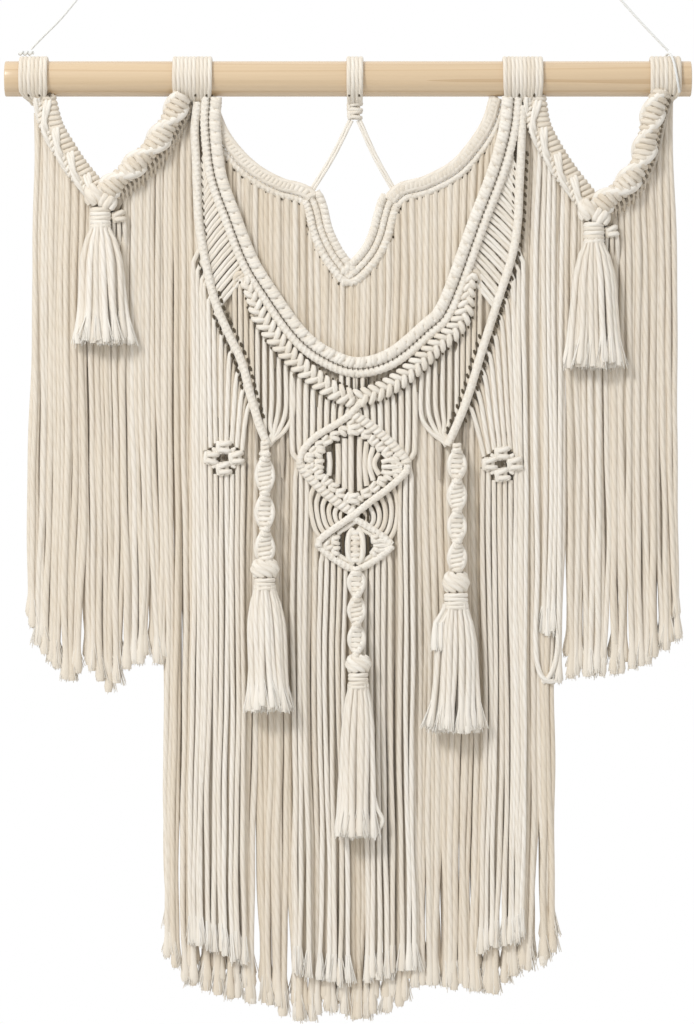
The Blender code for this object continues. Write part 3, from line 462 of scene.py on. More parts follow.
def pillow_row(bar, inner, outer, pitch, radius, out=0.6, depth=1.6, twin=0.2, tones=KNOT_TONES, core=-0.2):
    """Plump blocks of cord side by side across a bar, each of two turns, twin pitches to either side.

    Core is how far the two cords inside the blocks lie in front of the blocks' middle.
    """
    middle, half = (inner + outer) / 2, max((outer - inner) / 2 - radius, 0.3)
    cords = [run(bar, middle + half * side, out + core, radius, spacing=4.0) for side in (-0.9, 0.9)]
    for along in bar.spots(pitch):
        tone = chance.uniform(*tones)
        for shift in ((-twin, twin) if twin else (0.0,)):
            cords.append(loop(bar, along + shift * pitch, middle, half, depth, radius, lean=-2.4, out=out,
                              tone=tone))
    return cords


def square_knot(x, y, drop, half_width, half_height, half_depth, radius, slope=0.0):
    """Two crossing turns over two core cords. Slope turns the knot in the plane."""
    tilt = np.array([math.sin(slope), math.cos(slope)])
    ends = np.array([x, drop]) + np.outer([-half_height, half_height], tilt)
    bar = Bar(np.linspace(ends[0], ends[1], 5), y)
    reach = half_width - radius
    cords = [run(bar, side * reach * 0.45, 0, radius * 1.05, spacing=2.0) for side in (-1, 1)]
    for share, lean in ((0.27, 1.6), (0.73, -1.6)):
        cords.append(loop(bar, bar.length * share, 0, reach, half_depth, radius, lean=lean))
    cords.append(Cord(bar.at(bar.length * np.array([0.15, 0.5, 0.85]), reach * 0.9,
                             half_depth * np.array([0.3, 0.95, 0.3])), np.full(3, radius)))
    return cords


def half_knot_spiral(bar, half_width, half_depth, radius, pitch, half_turn, start_turn, edge, tones):
    """Half knots one on another, each turned a little further, between two cords that wind round.

    Half turn is the length in which it turns half round, and edge the radius of the two cords.
    """
    cords = [run(bar, 0, 0, half_depth * 0.82, spacing=4.0)]
    for along in bar.spots(pitch):
        cords.append(loop(bar, along, 0, half_width - radius - 0.8, half_depth - radius, radius, lean=1.2,
                          turn=start_turn - math.pi * along / half_turn, tone=chance.uniform(*tones)))
    along = np.linspace(0, bar.length, max(8, round(bar.length / 3)))
    turns = start_turn - math.pi * along / half_turn
    reach = half_width - edge * 0.75
    taper = np.interp(along, (0, 5, bar.length - 5, bar.length), (0.6, 1, 1, 0.6))
    for side in (-reach, reach):
        line = bar.at(along, side * np.cos(turns), side * np.sin(turns) * half_depth / half_width)
        cords.append(Cord(line, edge * taper, tone=1.0))
    return cords


def ball_knot(x, y, drop, half_width, half_depth, half_height, cords_round, radius, swirl):
    """A big round knot of cords that cross it on the slant."""
    up = np.linspace(-0.92, 0.92, 9)
    full = np.sqrt(1 - up ** 2)
    core = np.column_stack([np.full(9, x), np.full(9, y), drop + up * (half_height - radius)])
    cords = [Cord(core, full * (half_depth - 1.0))]
    for side in (-1, 1):
        cords.append(Cord(core + (side * (half_width - half_depth), 0, 0), full * (half_depth - 1.2)))
    for number in range(cords_round):
        turn = TAU * number / cords_round + swirl * up
        cords.append(Cord(np.column_stack([
            x + np.cos(turn) * (half_width - radius) * (0.35 + 0.65 * full),
            y + np.sin(turn) * (half_depth - radius) * (0.35 + 0.65 * full),
            drop + up * (half_height - radius * 0.6)]), radius * (0.6 + 0.4 * full)))
    return cords


def leaf_knot(x, y, drop, length, half_height, radius):
    """Three cords that spread from a diamond's corner and draw together again."""
    cords = []
    for share in (-1, 0, 1):
        rows = [(x + length * part, y - bulge, drop + share * (half_height - radius) * rise)
                for part, rise, bulge in ((0, 0.2, 0), (0.3, 0.8, 1.0), (0.65, 1.0, 1.4), (1, 0.7, 0.4))]
        cords.append(bent(rows, radius, 3))
    return cords


def wander(drops, size):
    """A slow sideways drift of a hanging cord, at each of its drops."""
    first, second, third = chance.uniform(0, TAU, 3)
    slow = 0.62 * np.sin(drops / 88 + first) + 0.3 * np.sin(drops / 37 + second)
    return size * (slow + 0.16 * np.sin(drops / 16 + third))


def sway(x, drops):
    """The drift that neighbouring cords share."""
    return 1.3 * np.sin(drops / 115 + x / 52 + 1.0) + 0.8 * np.sin(drops / 49 - x / 33)


def hanging_cord(x, top, end, y, radius=NET_RADIUS, end_x=None, drift=0.7, gathered=None, settled=0.0,
                 drawn=0.0):
    """A cord that hangs from (x, top), drifts a little, and frays at its end.

    Gathered is the place on the rod that the cord fans out from. Settled is how far it moves across
    on its way down from its root, and drawn is how far near its end, to its neighbours.
    """
    stop = end - FRAYED_LENGTH * 0.92
    start = gathered.drop if gathered else top
    drops = np.linspace(start, stop, max(5, round((stop - start) / RING_SPACING)))
    drops = np.concatenate([drops, stop + BRUSH_STEPS])
    share = np.clip((drops - top) / (stop - top), 0, 1.05)
    free = np.clip((drops - top) / 70, 0, 1)
    size = drift * (1 + 1.7 * share ** 2)
    end_x = x if end_x is None else end_x
    across = x + (end_x - x) * share ** 2
    across += drawn * np.clip((share - 0.72) / 0.28, 0, 1) ** 1.5
    across += (wander(drops, 1.0) * size + sway(x, drops)) * free
    fallen = np.clip((drops - top) / 260, 0, 1)
    across += settled * fallen * fallen * (3 - 2 * fallen)
    if gathered:
        fan = np.clip((drops - gathered.drop) / (top + 16 - gathered.drop), 0, 1)
        across += (gathered.x - x) * (1 - fan * fan * (3 - 2 * fan))
    depth = y + wander(drops, 0.5) * free
    width = radius * (1 + 0.05 * np.sin(drops / 23 + chance.uniform(0, TAU)))
    width[-len(BRUSH_WIDTHS):] = radius * BRUSH_WIDTHS
    return Cord(np.column_stack([across, depth, drops]), width, fray=FRAYED_SPREAD)


# ------------------------------------------------------------------ one tree for every cord

def node(tree, kind, inputs=(), **settings):
    """Add a node with its options, and set or link its inputs."""
    added = tree.nodes.new(kind)
    for name, value in settings.items():
        setattr(added, name, value)
    for socket, value in dict(inputs).items():
        target = added.inputs[socket]
        if isinstance(value, bpy.types.NodeSocket):
            tree.links.new(value, target)
        else:
            target.default_value = value
    return added


def math_node(tree, operation, *values):
    return node(tree, "ShaderNodeMath", enumerate(values), operation=operation).outputs[0]


def vector_node(tree, operation, *values, factor=None):
    added = node(tree, "ShaderNodeVectorMath", enumerate(values), operation=operation)
    if factor is not None:
        tree.links.new(factor, added.inputs["Scale"])
    return added.outputs[0]


def named(tree, name, kind="FLOAT"):
    return node(tree, "GeometryNodeInputNamedAttribute", {"Name": name}, data_type=kind).outputs[0]


def stored(tree, geometry, name, value, kind="FLOAT"):
    return node(tree, "GeometryNodeStoreNamedAttribute",
                {"Geometry": geometry, "Name": name, "Value": value},
                data_type=kind, domain="POINT").outputs[0]


def swept(tree, curve, sides, scale):
    """A tube round a curve. It keeps the place round the cord and along it for the paint."""
    along = node(tree, "GeometryNodeSplineParameter").outputs["Length"]
    curve = stored(tree, curve, "along", along)
    profile = node(tree, "GeometryNodeCurvePrimitiveCircle", {"Resolution": sides, "Radius": 1.0})
    place = node(tree, "GeometryNodeInputPosition").outputs[0]
    profile = stored(tree, profile.outputs[0], "around", place, "FLOAT_VECTOR")
    return node(tree, "GeometryNodeCurveToMesh",
                {"Curve": curve, "Profile Curve": profile, "Scale": scale, "Fill Caps": True}).outputs[0]


def frayed(tree, lines, entry):
    """A tuft of thin fibres at each end that frays."""
    ends = node(tree, "GeometryNodeMeshToPoints",
                {"Mesh": lines, "Selection": math_node(tree, "GREATER_THAN", named(tree, "fray"), 0.0)})
    copies = node(tree, "GeometryNodeDuplicateElements",
                  {"Geometry": ends.outputs[0], "Amount": entry.outputs["Fibres"]}, domain="POINT")
    index = node(tree, "GeometryNodeInputIndex").outputs[0]

    def chosen(low, high, step, kind="FLOAT"):
        vector = kind == "FLOAT_VECTOR"
        first = 0 if vector else 2
        seed = math_node(tree, "ADD", entry.outputs["Seed"], step)
        return node(tree, "FunctionNodeRandomValue",
                    {first: low, first + 1: high, "ID": index, "Seed": seed},
                    data_type=kind).outputs[0 if vector else 1]

    points = copies.outputs[0]
    points = stored(tree, points, "root", node(tree, "GeometryNodeInputPosition").outputs[0],
                    "FLOAT_VECTOR")
    outwards = vector_node(tree, "NORMALIZE", chosen((-1, -0.7, -0.1), (1, 0.7, 0.1), 1, "FLOAT_VECTOR"))
    outwards = vector_node(tree, "SCALE", outwards, factor=chosen(0.55, 1.05, 2))
    points = stored(tree, points, "splay", outwards, "FLOAT_VECTOR")
    points = stored(tree, points, "bend", chosen((-1, -0.6, -0.3), (1, 0.6, 0.3), 3, "FLOAT_VECTOR"),
                    "FLOAT_VECTOR")
    points = stored(tree, points, "reach", chosen(0.78, 0.97, 4))
    tone = math_node(tree, "MULTIPLY", named(tree, "tone"), 0.5)
    points = stored(tree, points, "tone", math_node(tree, "ADD", tone, chosen(0.6, 0.9, 5)))
    points = stored(tree, points, "ply", 0.0)
    fibre = node(tree, "GeometryNodeCurvePrimitiveLine", {"Start": (0, 0, 0), "End": (0, 0, 1)})
    fibre = node(tree, "GeometryNodeResampleCurve", {"Curve": fibre.outputs[0], "Count": 6})
    fibres = node(tree, "GeometryNodeInstanceOnPoints",
                  {"Points": points, "Instance": fibre.outputs[0]}).outputs[0]
    fibres = node(tree, "GeometryNodeRealizeInstances", {"Geometry": fibres}).outputs[0]
    share = node(tree, "GeometryNodeSplineParameter").outputs["Factor"]
    spread = math_node(tree, "MULTIPLY", math_node(tree, "POWER", share, 1.15), named(tree, "fray"))
    sideways = vector_node(tree, "SCALE", named(tree, "splay", "FLOAT_VECTOR"),
                           factor=math_node(tree, "ADD", spread, TUFT_RADIUS * MM))
    bend = vector_node(tree, "SCALE", named(tree, "bend", "FLOAT_VECTOR"), factor=math_node(
        tree, "MULTIPLY", math_node(tree, "MULTIPLY", share, share), FIBRE_BEND * MM))
    length = math_node(tree, "MULTIPLY", named(tree, "reach"), FRAYED_LENGTH * MM)
    down = vector_node(tree, "SCALE", named(tree, "aim", "FLOAT_VECTOR"),
                       factor=math_node(tree, "MULTIPLY", share, length))
    place = vector_node(tree, "ADD", named(tree, "root", "FLOAT_VECTOR"), down)
    place = vector_node(tree, "ADD", place, vector_node(tree, "ADD", sideways, bend))
    fibres = node(tree, "GeometryNodeSetPosition", {"Geometry": fibres, "Position": place}).outputs[0]
    slim = math_node(tree, "MULTIPLY", math_node(tree, "SUBTRACT", 1.0, math_node(
        tree, "MULTIPLY", share, 0.4)), FIBRE_RADIUS * MM)
    return swept(tree, fibres, 3, slim)


def make_cord_tree():
    """Sweep every line of the mesh as a cord, and fray the ends that ask for it."""
    tree = bpy.data.node_groups.new("cords_with_frayed_ends", "GeometryNodeTree")
    for name, kind in (("Lines", "NodeSocketGeometry"), ("Sides", "NodeSocketInt"),
                       ("Fibres", "NodeSocketInt"), ("Seed", "NodeSocketInt"),
                       ("Finish", "NodeSocketMaterial")):
        tree.interface.new_socket(name, in_out="INPUT", socket_type=kind)
    tree.interface.new_socket("Cords", in_out="OUTPUT", socket_type="NodeSocketGeometry")
    entry = tree.nodes.new("NodeGroupInput")
    lines = entry.outputs["Lines"]
    curves = node(tree, "GeometryNodeMeshToCurve", {"Mesh": lines}).outputs[0]
    tubes = swept(tree, curves, entry.outputs["Sides"], named(tree, "thickness"))
    tufts = frayed(tree, lines, entry)
    joined = tree.nodes.new("GeometryNodeJoinGeometry")
    for part in (tubes, tufts):
        tree.links.new(part, joined.inputs[0])
    plain = node(tree, "GeometryNodeRealizeInstances", {"Geometry": joined.outputs[0]}).outputs[0]
    soft = node(tree, "GeometryNodeSetShadeSmooth", {"Geometry": plain}).outputs[0]
    finished = node(tree, "GeometryNodeSetMaterial",
                    {"Geometry": soft, "Material": entry.outputs["Finish"]}).outputs[0]
    tree.links.new(finished, tree.nodes.new("NodeGroupOutput").inputs[0])
    return tree


def written(line):
    """Rows of (x, y, drop) in millimetres as points in metres."""
    return np.column_stack([line[:, 0], line[:, 1], -line[:, 2]]) * MM


def line_mesh(name, cords, tones):
    """A mesh of bare lines, with what the tree needs to know at each point."""
    points, edges = [], []
    values = {title: [] for title in ("thickness", "tone", "fray", "ply", "shade", "aim")}
    for cord in cords:
        first, count = len(points), len(cord.line)
        places = written(cord.line)
        points.extend(places.tolist())
        edges += [(first + step, first + step + 1) for step in range(count - 1)]
        if cord.closed:
            edges.append((first + count - 1, first))
        brush = len(BRUSH_STEPS) + 1 if cord.fray else 0
        tone = chance.uniform(*tones)
        ahead = places[-1] - places[-2]
        ahead = ahead / np.linalg.norm(ahead) + (chance.uniform(-0.13, 0.13) if brush else 0.0, 0.0, 0.0)
        rows = np.ones(count)
        values["thickness"].extend(cord.radius * MM)
        values["tone"].extend(rows * (tone if cord.tone < 0 else cord.tone))
        values["shade"].extend(rows * cord.shade)
        values["fray"].extend(np.where(np.arange(count) == count - brush, cord.fray * MM, 0.0))
        values["ply"].extend(np.where(np.arange(count) < count - brush, 1.0, 0.0))
        values["aim"].extend(np.tile(ahead, count))
    mesh = bpy.data.meshes.new(name + "_lines")
    mesh.from_pydata(points, edges, [])
    for title, column in values.items():
        vector = title == "aim"
        attribute = mesh.attributes.new(title, "FLOAT_VECTOR" if vector else "FLOAT", "POINT")
        attribute.data.foreach_set("vector" if vector else "value", np.array(column))
    return mesh


def lay(name, cords, replaced, sides=6, slot="cotton", tones=PLAIN_TONES):
    """Lay cords as one plain mesh that stands for a CAD node, with the finish of its slot."""
    obj = bpy.data.objects.new(name, line_mesh(name, cords, tones))
    bpy.context.scene.collection.objects.link(obj)
    modifier = obj.modifiers.new("cords", "NODES")
    modifier.node_group = cord_tree
    sockets = {item.name: item.identifier for item in cord_tree.interface.items_tree}
    for title, value in (("Sides", sides), ("Fibres", FIBRES), ("Seed", len(name)),
                         ("Finish", finishes[slot])):
        modifier[sockets[title]] = value
    evaluated = obj.evaluated_get(bpy.context.evaluated_depsgraph_get())
    plain = bpy.data.meshes.new_from_object(evaluated)
    obj.modifiers.remove(modifier)
    obj.data = plain
    for title in ("aim", "splay", "bend", "root", "reach", "fray", "thickness"):
        if title in plain.attributes:
            plain.attributes.remove(plain.attributes[title])
    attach(obj, "root")
    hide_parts(replaced)
    return obj


# ------------------------------------------------------------------ finishes

def new_material(name):
    material = bpy.data.materials.new(name)
    material.use_nodes = True
    tree = material.node_tree
    return material, tree, tree.nodes["Principled BSDF"]


def mixed(tree, factor, first, second):
    """A colour between two, by a factor."""
    added = node(tree, "ShaderNodeMix", data_type="RGBA")
    for socket, value in ((0, factor), (6, first), (7, second)):
        if isinstance(value, bpy.types.NodeSocket):
            tree.links.new(value, added.inputs[socket])
        else:
            added.inputs[socket].default_value = value
    return added.outputs[2]


def cord_finish(name, pale, deep, ply_shade_colour, ply_length):
    """Twisted cotton: three plies on the slant with painted shade between them, a soft fuzz, a tone for
    each cord, and painted shade where a cord asks for it.
    """
    material, tree, shader = new_material(name)

    def carried(title, output="Fac"):
        return node(tree, "ShaderNodeAttribute", attribute_name=title).outputs[output]

    split = node(tree, "ShaderNodeSeparateXYZ", {0: carried("around", "Vector")})
    angle = math_node(tree, "ARCTAN2", split.outputs[1], split.outputs[0])
    twist = math_node(tree, "MULTIPLY", carried("along"), TAU / (ply_length * MM))
    phase = math_node(tree, "ADD", math_node(tree, "MULTIPLY", angle, 3.0), twist)
    ridge = math_node(tree, "ABSOLUTE", math_node(tree, "SINE", math_node(tree, "MULTIPLY", phase, 0.5)))
    ply = carried("ply")
    place = node(tree, "ShaderNodeTexCoord").outputs["Object"]
    fuzz = node(tree, "ShaderNodeTexNoise", {"Vector": place, "Scale": 900.0, "Detail": 4.0,
                                            "Roughness": 0.7}).outputs[0]
    patch = node(tree, "ShaderNodeTexNoise", {"Vector": place, "Scale": 38.0, "Detail": 2.0}).outputs[0]
    share = math_node(tree, "ADD", math_node(tree, "MULTIPLY", carried("tone"), 0.7),
                      math_node(tree, "MULTIPLY", patch, 0.3))
    colour = mixed(tree, share, (*deep, 1), (*pale, 1))
    # Painted shade in the recesses between the plies.
    ply_shade = math_node(tree, "SUBTRACT", 1.0, math_node(tree, "POWER", ridge, 0.5))
    ply_shade = math_node(tree, "MULTIPLY", math_node(tree, "MULTIPLY", ply_shade, ply), 0.34)
    colour = mixed(tree, ply_shade, colour, (*ply_shade_colour, 1))
    # Painted shade by the shade attribute: tan where it is half, near black where it is full.
    dark = mixed(tree, carried("shade"), (0.30, 0.19, 0.07, 1), (0.085, 0.065, 0.04, 1))
    colour = mixed(tree, carried("shade"), colour, dark)
    tree.links.new(colour, shader.inputs["Base Color"])
    height = math_node(tree, "ADD", math_node(tree, "MULTIPLY", ridge, ply),
                       math_node(tree, "MULTIPLY", fuzz, 0.6))
    bump = node(tree, "ShaderNodeBump", {"Height": height, "Strength": 0.4, "Distance": 0.0005})
    tree.links.new(bump.outputs[0], shader.inputs["Normal"])
    rough = node(tree, "ShaderNodeMapRange", {"Value": fuzz, "To Min": 0.82, "To Max": 0.98})
    tree.links.new(rough.outputs[0], shader.inputs["Roughness"])
    shader.inputs["Sheen Weight"].default_value = 0.25
    shader.inputs["Sheen Roughness"].default_value = 0.5
    shader.inputs["Specular IOR Level"].default_value = 0.25
    return material


def pine_finish():
    """Pale pine: growth rings about a pith beside the rod, drawn out along it, and fine streaks."""
    material, tree, shader = new_material("pine_dowel")
    place = node(tree, "ShaderNodeTexCoord").outputs["Object"]

    def drawn_out(*scale):
        spread = node(tree, "ShaderNodeMapping", {"Vector": place, "Scale": scale}).outputs[0]
        noise = node(tree, "ShaderNodeTexNoise", {"Vector": spread, "Scale": 1.0, "Detail": 3.0})
        return noise.outputs["Fac"]

    drawn = node(tree, "ShaderNodeMapping", {"Vector": place, "Scale": (1.6, 42.0, 42.0),
                                            "Location": (0.0, 0.55, -0.35)}).outputs[0]
    wavy = node(tree, "ShaderNodeTexNoise", {"Vector": drawn, "Scale": 0.8, "Detail": 2.0}).outputs["Color"]
    bent_rings = vector_node(tree, "ADD", drawn, vector_node(tree, "MULTIPLY", wavy, (0.0, 0.9, 0.9)))
    rings = node(tree, "ShaderNodeTexWave", {"Vector": bent_rings, "Scale": 1.05, "Distortion": 0.6,
                                             "Detail": 2.0, "Detail Scale": 0.6},
                 wave_type="RINGS", rings_direction="X", wave_profile="SAW").outputs["Fac"]
    pores = drawn_out(14.0, 900.0, 900.0)
    streaks = drawn_out(2.5, 260.0, 260.0)
    ramp = node(tree, "ShaderNodeValToRGB", {"Fac": rings})
    stops = ramp.color_ramp.elements
    stops[0].position, stops[0].color = 0.0, (0.655, 0.49, 0.305, 1)
    stops[1].position, stops[1].color = 1.0, (0.53, 0.365, 0.20, 1)
    added = stops.new(0.7)
    added.color = (0.63, 0.47, 0.285, 1)
    colour = mixed(tree, math_node(tree, "MULTIPLY", pores, 0.35), ramp.outputs[0], (0.51, 0.365, 0.21, 1))
    faint = node(tree, "ShaderNodeMapRange", {"Value": streaks, "From Min": 0.42, "From Max": 0.68,
                                             "To Min": 0.0, "To Max": 0.5}).outputs[0]
    colour = mixed(tree, faint, colour, (0.53, 0.385, 0.225, 1))
    tree.links.new(colour, shader.inputs["Base Color"])
    bump = node(tree, "ShaderNodeBump", {"Height": pores, "Strength": 0.15, "Distance": 0.0003})
    tree.links.new(bump.outputs[0], shader.inputs["Normal"])
    rough = node(tree, "ShaderNodeMapRange", {"Value": pores, "To Min": 0.5, "To Max": 0.68})
    tree.links.new(rough.outputs[0], shader.inputs["Roughness"])
    shader.inputs["Coat Weight"].default_value = 0.9
    shader.inputs["Coat IOR"].default_value = 1.7
    shader.inputs["Coat Roughness"].default_value = 0.25
    return material


def floor_finish():
    material, _, shader = new_material("pale_floor")
    shader.inputs["Base Color"].default_value = (0.82, 0.82, 0.82, 1)
    shader.inputs["Roughness"].default_value = 0.9
    return material


# ------------------------------------------------------------------ camera, light and floor

def make_camera():
    camera = bpy.data.cameras.new("camera")
    camera.sensor_fit = "VERTICAL"
    camera.sensor_height = 24.0
    camera.lens = camera.sensor_height * VIEW_DISTANCE / VIEW_HEIGHT
    obj = bpy.data.objects.new("camera", camera)
    obj.location = (VIEW_MIDDLE[0], -VIEW_DISTANCE, VIEW_MIDDLE[1])
    obj.rotation_euler = (math.pi / 2, 0, 0)
    bpy.context.scene.collection.objects.link(obj)
    bpy.context.scene.camera = obj


def make_studio():
    """White all round, a little darker from below, with one soft light from the upper left."""
    scene = bpy.context.scene
    scene.view_settings.view_transform = "Standard"
    world = bpy.data.worlds.new("studio")
    world.use_nodes = True
    tree = world.node_tree
    way = node(tree, "ShaderNodeSeparateXYZ", {0: node(tree, "ShaderNodeTexCoord").outputs["Generated"]})
    low = node(tree, "ShaderNodeMapRange", {"Value": way.outputs[2], "From Min": -0.7, "From Max": -0.2,
                                           "To Min": 0.35, "To Max": 1.0}).outputs[0]
    front = node(tree, "ShaderNodeMapRange", {"Value": way.outputs[1], "From Min": -0.6, "From Max": 0.0,
                                             "To Min": 0.76, "To Max": 1.0}).outputs[0]
    tree.links.new(math_node(tree, "MULTIPLY", low, front), tree.nodes["Background"].inputs["Strength"])
    tree.nodes["Background"].inputs["Color"].default_value = (1, 1, 1, 1)
    scene.world = world
    light = bpy.data.lights.new("key", "AREA")
    light.size = LIGHT_WIDTH
    light.energy = LIGHT_POWER
    lamp = bpy.data.objects.new("key", light)
    lamp.location = LIGHT_PLACE
    lamp.rotation_euler = (Vector(LIGHT_TARGET) - Vector(LIGHT_PLACE)).to_track_quat("-Z", "Y").to_euler()
    scene.collection.objects.link(lamp)
    bpy.ops.mesh.primitive_plane_add(size=FLOOR_WIDTH, location=(0, 0, FLOOR_HEIGHT))
    floor = bpy.context.active_object
    floor.name = "floor"
    floor.data.materials.append(floor_finish())


# ------------------------------------------------------------------ rod, loops and hanger

def make_rod():
    """The dowel, turned with softly rounded ends."""
    half = ROD_LENGTH / 2
    rows = [(0.0, ROD_RADIUS - ROD_EDGE)]
    for step in range(5):
        angle = math.pi / 2 * step / 4
        rows.append((ROD_EDGE * (1 - math.cos(angle)), ROD_RADIUS - ROD_EDGE * (1 - math.sin(angle))))
    rows += [(x, ROD_RADIUS) for x in np.linspace(8, ROD_LENGTH - 8, 24)]
    rows += [(ROD_LENGTH - x, radius) for x, radius in rows[5:0:-1]] + [(ROD_LENGTH, rows[0][1])]
    bm = bmesh.new()
    loops = [[bm.verts.new(((x - half) * MM, radius * MM * math.sin(TAU * side / ROD_SIDES),
                            radius * MM * math.cos(TAU * side / ROD_SIDES))) for side in range(ROD_SIDES)]
             for x, radius in rows[1:-1]]
    for first, second in zip(loops, loops[1:]):
        for side in range(ROD_SIDES):
            turn = (side + 1) % ROD_SIDES
            bm.faces.new((first[side], first[turn], second[turn], second[side]))
    bm.faces.new(loops[0])
    bm.faces.new(loops[-1])
    bmesh.ops.recalc_face_normals(bm, faces=bm.faces)
    mesh = bpy.data.meshes.new("dowel")
    bm.to_mesh(mesh)
    bm.free()
    mesh.shade_smooth()
    mesh.set_sharp_from_angle(angle=math.radians(35))
    mesh.materials.append(finishes["pine"])
    obj = bpy.data.objects.new("dowel", mesh)
    bpy.context.scene.collection.objects.link(obj)
    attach(obj, "root")
    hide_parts("rod")


def make_loops():
    """Lark's heads: cords side by side over the rod, drawn in under it to where the knotting starts."""
    ring = ROD_RADIUS + 0.35 + LOOP_RADIUS
    angles = np.linspace(-0.88 * math.pi, 0.8 * math.pi, 22)
    depths = np.concatenate([[3.0], -ring * np.sin(angles), (-7.6, -4.4, -1.5)])
    drops = np.concatenate([[20.0], -ring * np.cos(angles), (17.4, 19.6, 22.0)])
    low = np.clip((drops - 6) / 15, 0, 1)
    drawn_in = np.clip((drops - 13) / 8, 0, 1)
    for group in LOOP_GROUPS:
        pitch = (group.end - group.start) / group.cords
        middle = (group.start + group.end) / 2
        cords = []
        for number in range(group.cords):
            x = group.start + pitch * (number + 0.5)
            pinch = (0.4 if number % 2 == 0 else -0.4) - (x - middle) * 0.08
            foot = LOOP_FEET.get(group.name, x)
            ripple = 0.15 * np.sin(np.arange(len(drops)) / 3 + chance.uniform(0, TAU))
            across = x + pinch * low + (foot - x) * 0.55 * drawn_in + ripple
            line = np.column_stack([across, depths, drops])
            cords.append(Cord(line, np.full(len(line), pitch / 2 + 0.45)))
        # Dark shapes of painted shade in the gaps between cords under the rod.
        cords += [painted_gap_shade(x, -12.0, 14.8, 1.3, (0.0, 1.7)) for x in LOOP_GAP_SHADES
                  if group.start - 3 < x < group.end + 3]
        lay(group.name + "_cords", cords, group.name, sides=8, tones=(0.2, 0.75))


def hanger_route(places):
    line = smooth(places)
    count = math.ceil(travelled(line)[-1] / (2.5 * 2 * HANGER_RADIUS))
    along = np.linspace(0, travelled(line)[-1], count + 1)
    spots = np.array([at_distance(line, distance) for distance in along])
    return np.column_stack([spots[:, 0], np.zeros(len(spots)), spots[:, 1]])


def make_hanger():
    """Two thin cords held taut from above, each in an overhand knot just outside the view."""
    for side, places in (("left", HANGER_LEFT), ("right", HANGER_RIGHT)):
        route = hanger_route(places)
        cord = lay("hanger_cord_" + side, [Cord(route, np.full(len(route), HANGER_RADIUS))],
                   "hanger_" + side, sides=10, slot="thread")
        ahead = route[-1] - route[-2]
        ahead /= np.linalg.norm(ahead)
        knot = Bar(np.array([route[-1][[0, 2]] + ahead[[0, 2]] * reach
                             for reach in (0.4, 2.4, 4.4, 6.4, 8.2)]), 0.0)
        turns = [loop(knot, along, 0, 1.9, 1.9, 1.05, lean=lean)
                 for along, lean in ((1.9, 0.9), (3.9, -0.9), (5.9, 0.9))]
        tail = run(knot, 0, 0, 1.3, start=0.2, end=0.1, spacing=1.5)
        tied = lay("hanger_overhand_" + side, turns + [tail], "hanger_knot_" + side, sides=8, slot="thread")


def make_hitches():
    """The hanger's wrap beside the left loops, and its turn over the right ones."""
    angles = np.linspace(0, TAU * 3, 37)
    coil = np.column_stack([WRAP_START + WRAP_LENGTH * angles / angles[-1],
                            WRAP_RADIUS * np.cos(angles), WRAP_DROP + WRAP_RADIUS * np.sin(angles)])
    bar = np.column_stack([np.linspace(-288.6, -274.8, 5), np.zeros(5), np.full(5, WRAP_DROP)])
    lay("hanger_wrap_left", [Cord(coil, np.full(37, HANGER_RADIUS)), Cord(bar, np.full(5, 1.0))],
        "hanger_hitch_left", slot="thread")
    steps = np.arange(12)
    angles = np.radians(112 - 13.5 * steps)
    over = np.column_stack([278.6 + 0.9 * steps, -TURN_RADIUS * np.cos(angles),
                            -TURN_RADIUS * np.sin(angles)])
    lay("hanger_wrap_right", [Cord(over, np.full(12, HANGER_RADIUS))], "hanger_hitch_right", sides=8,
        slot="thread")


def make_centre_tie():
    """Two square knots under the centre loops, and a pair of cords down to each peak of the neckline."""
    knots = [cord for drop, wide, high in ((24.6, 7.6, 4.6), (31.4, 7.2, 4.2))
             for cord in square_knot(6.0, 0.0, drop, wide, high, 3.0, 2.0)]
    lay("tie_square_knot", knots, "tie_knot")
    for side, places in TIE_CORDS:
        bar = Bar(places, 0.0)
        cords = [run(bar, across, out, 1.5, tone=1.0) for across, out in ((-1.2, 0.2), (1.2, -0.2))]
        lay("tie_strands_" + side, cords, "tie_cord_" + side)


# ------------------------------------------------------------------ neckline and curtain

def make_neckline():
    """The W: a row of pillows with a rope under it, and a second rope inside the V. Gives its line."""
    line = smooth(NECKLINE)
    left, right = NECK_PEAKS
    for kind, side, low, high in (("arc", "left", -200, left), ("vee", "left", left, NECK_DIP),
                                  ("vee", "right", NECK_DIP, right), ("arc", "right", right, 200)):
        bar = Bar(part_between(line, low - 0.8, high + 0.8), CURTAIN_Y)
        if kind == "vee":
            cords = pillow_row(bar, -12.6, -4.4, 9.0, radius=3.2) + rope_edge(bar, -1.9, 1.2, 3.3)
            # Dark shapes of painted shade in the gaps beside the outer rope.
            cords += rope_edge(bar, 4.9, 0.6, 4.1) + painted_gap_shades(bar, 9.6, 0.4, 6.6, 1.2)
            cords += [run(bar, across, -1.5, 2.6) for across in (-5.0, 1.4)]
        else:
            cords = pillow_row(bar, -9.2, 3.6, 8.0, radius=3.4, twin=0.25, tones=(0.4, 0.7), core=0.9)
            # Dark shapes of painted shade in the gaps beside the outer rope.
            cords += rope_edge(bar, 5.9, 0.2, 3.4) + painted_gap_shades(bar, 9.0, 0.6, 4.4, 1.1)
        lay(f"neck_{kind}_knots_{side}", cords, f"neck_{kind}_{side}")
    return line


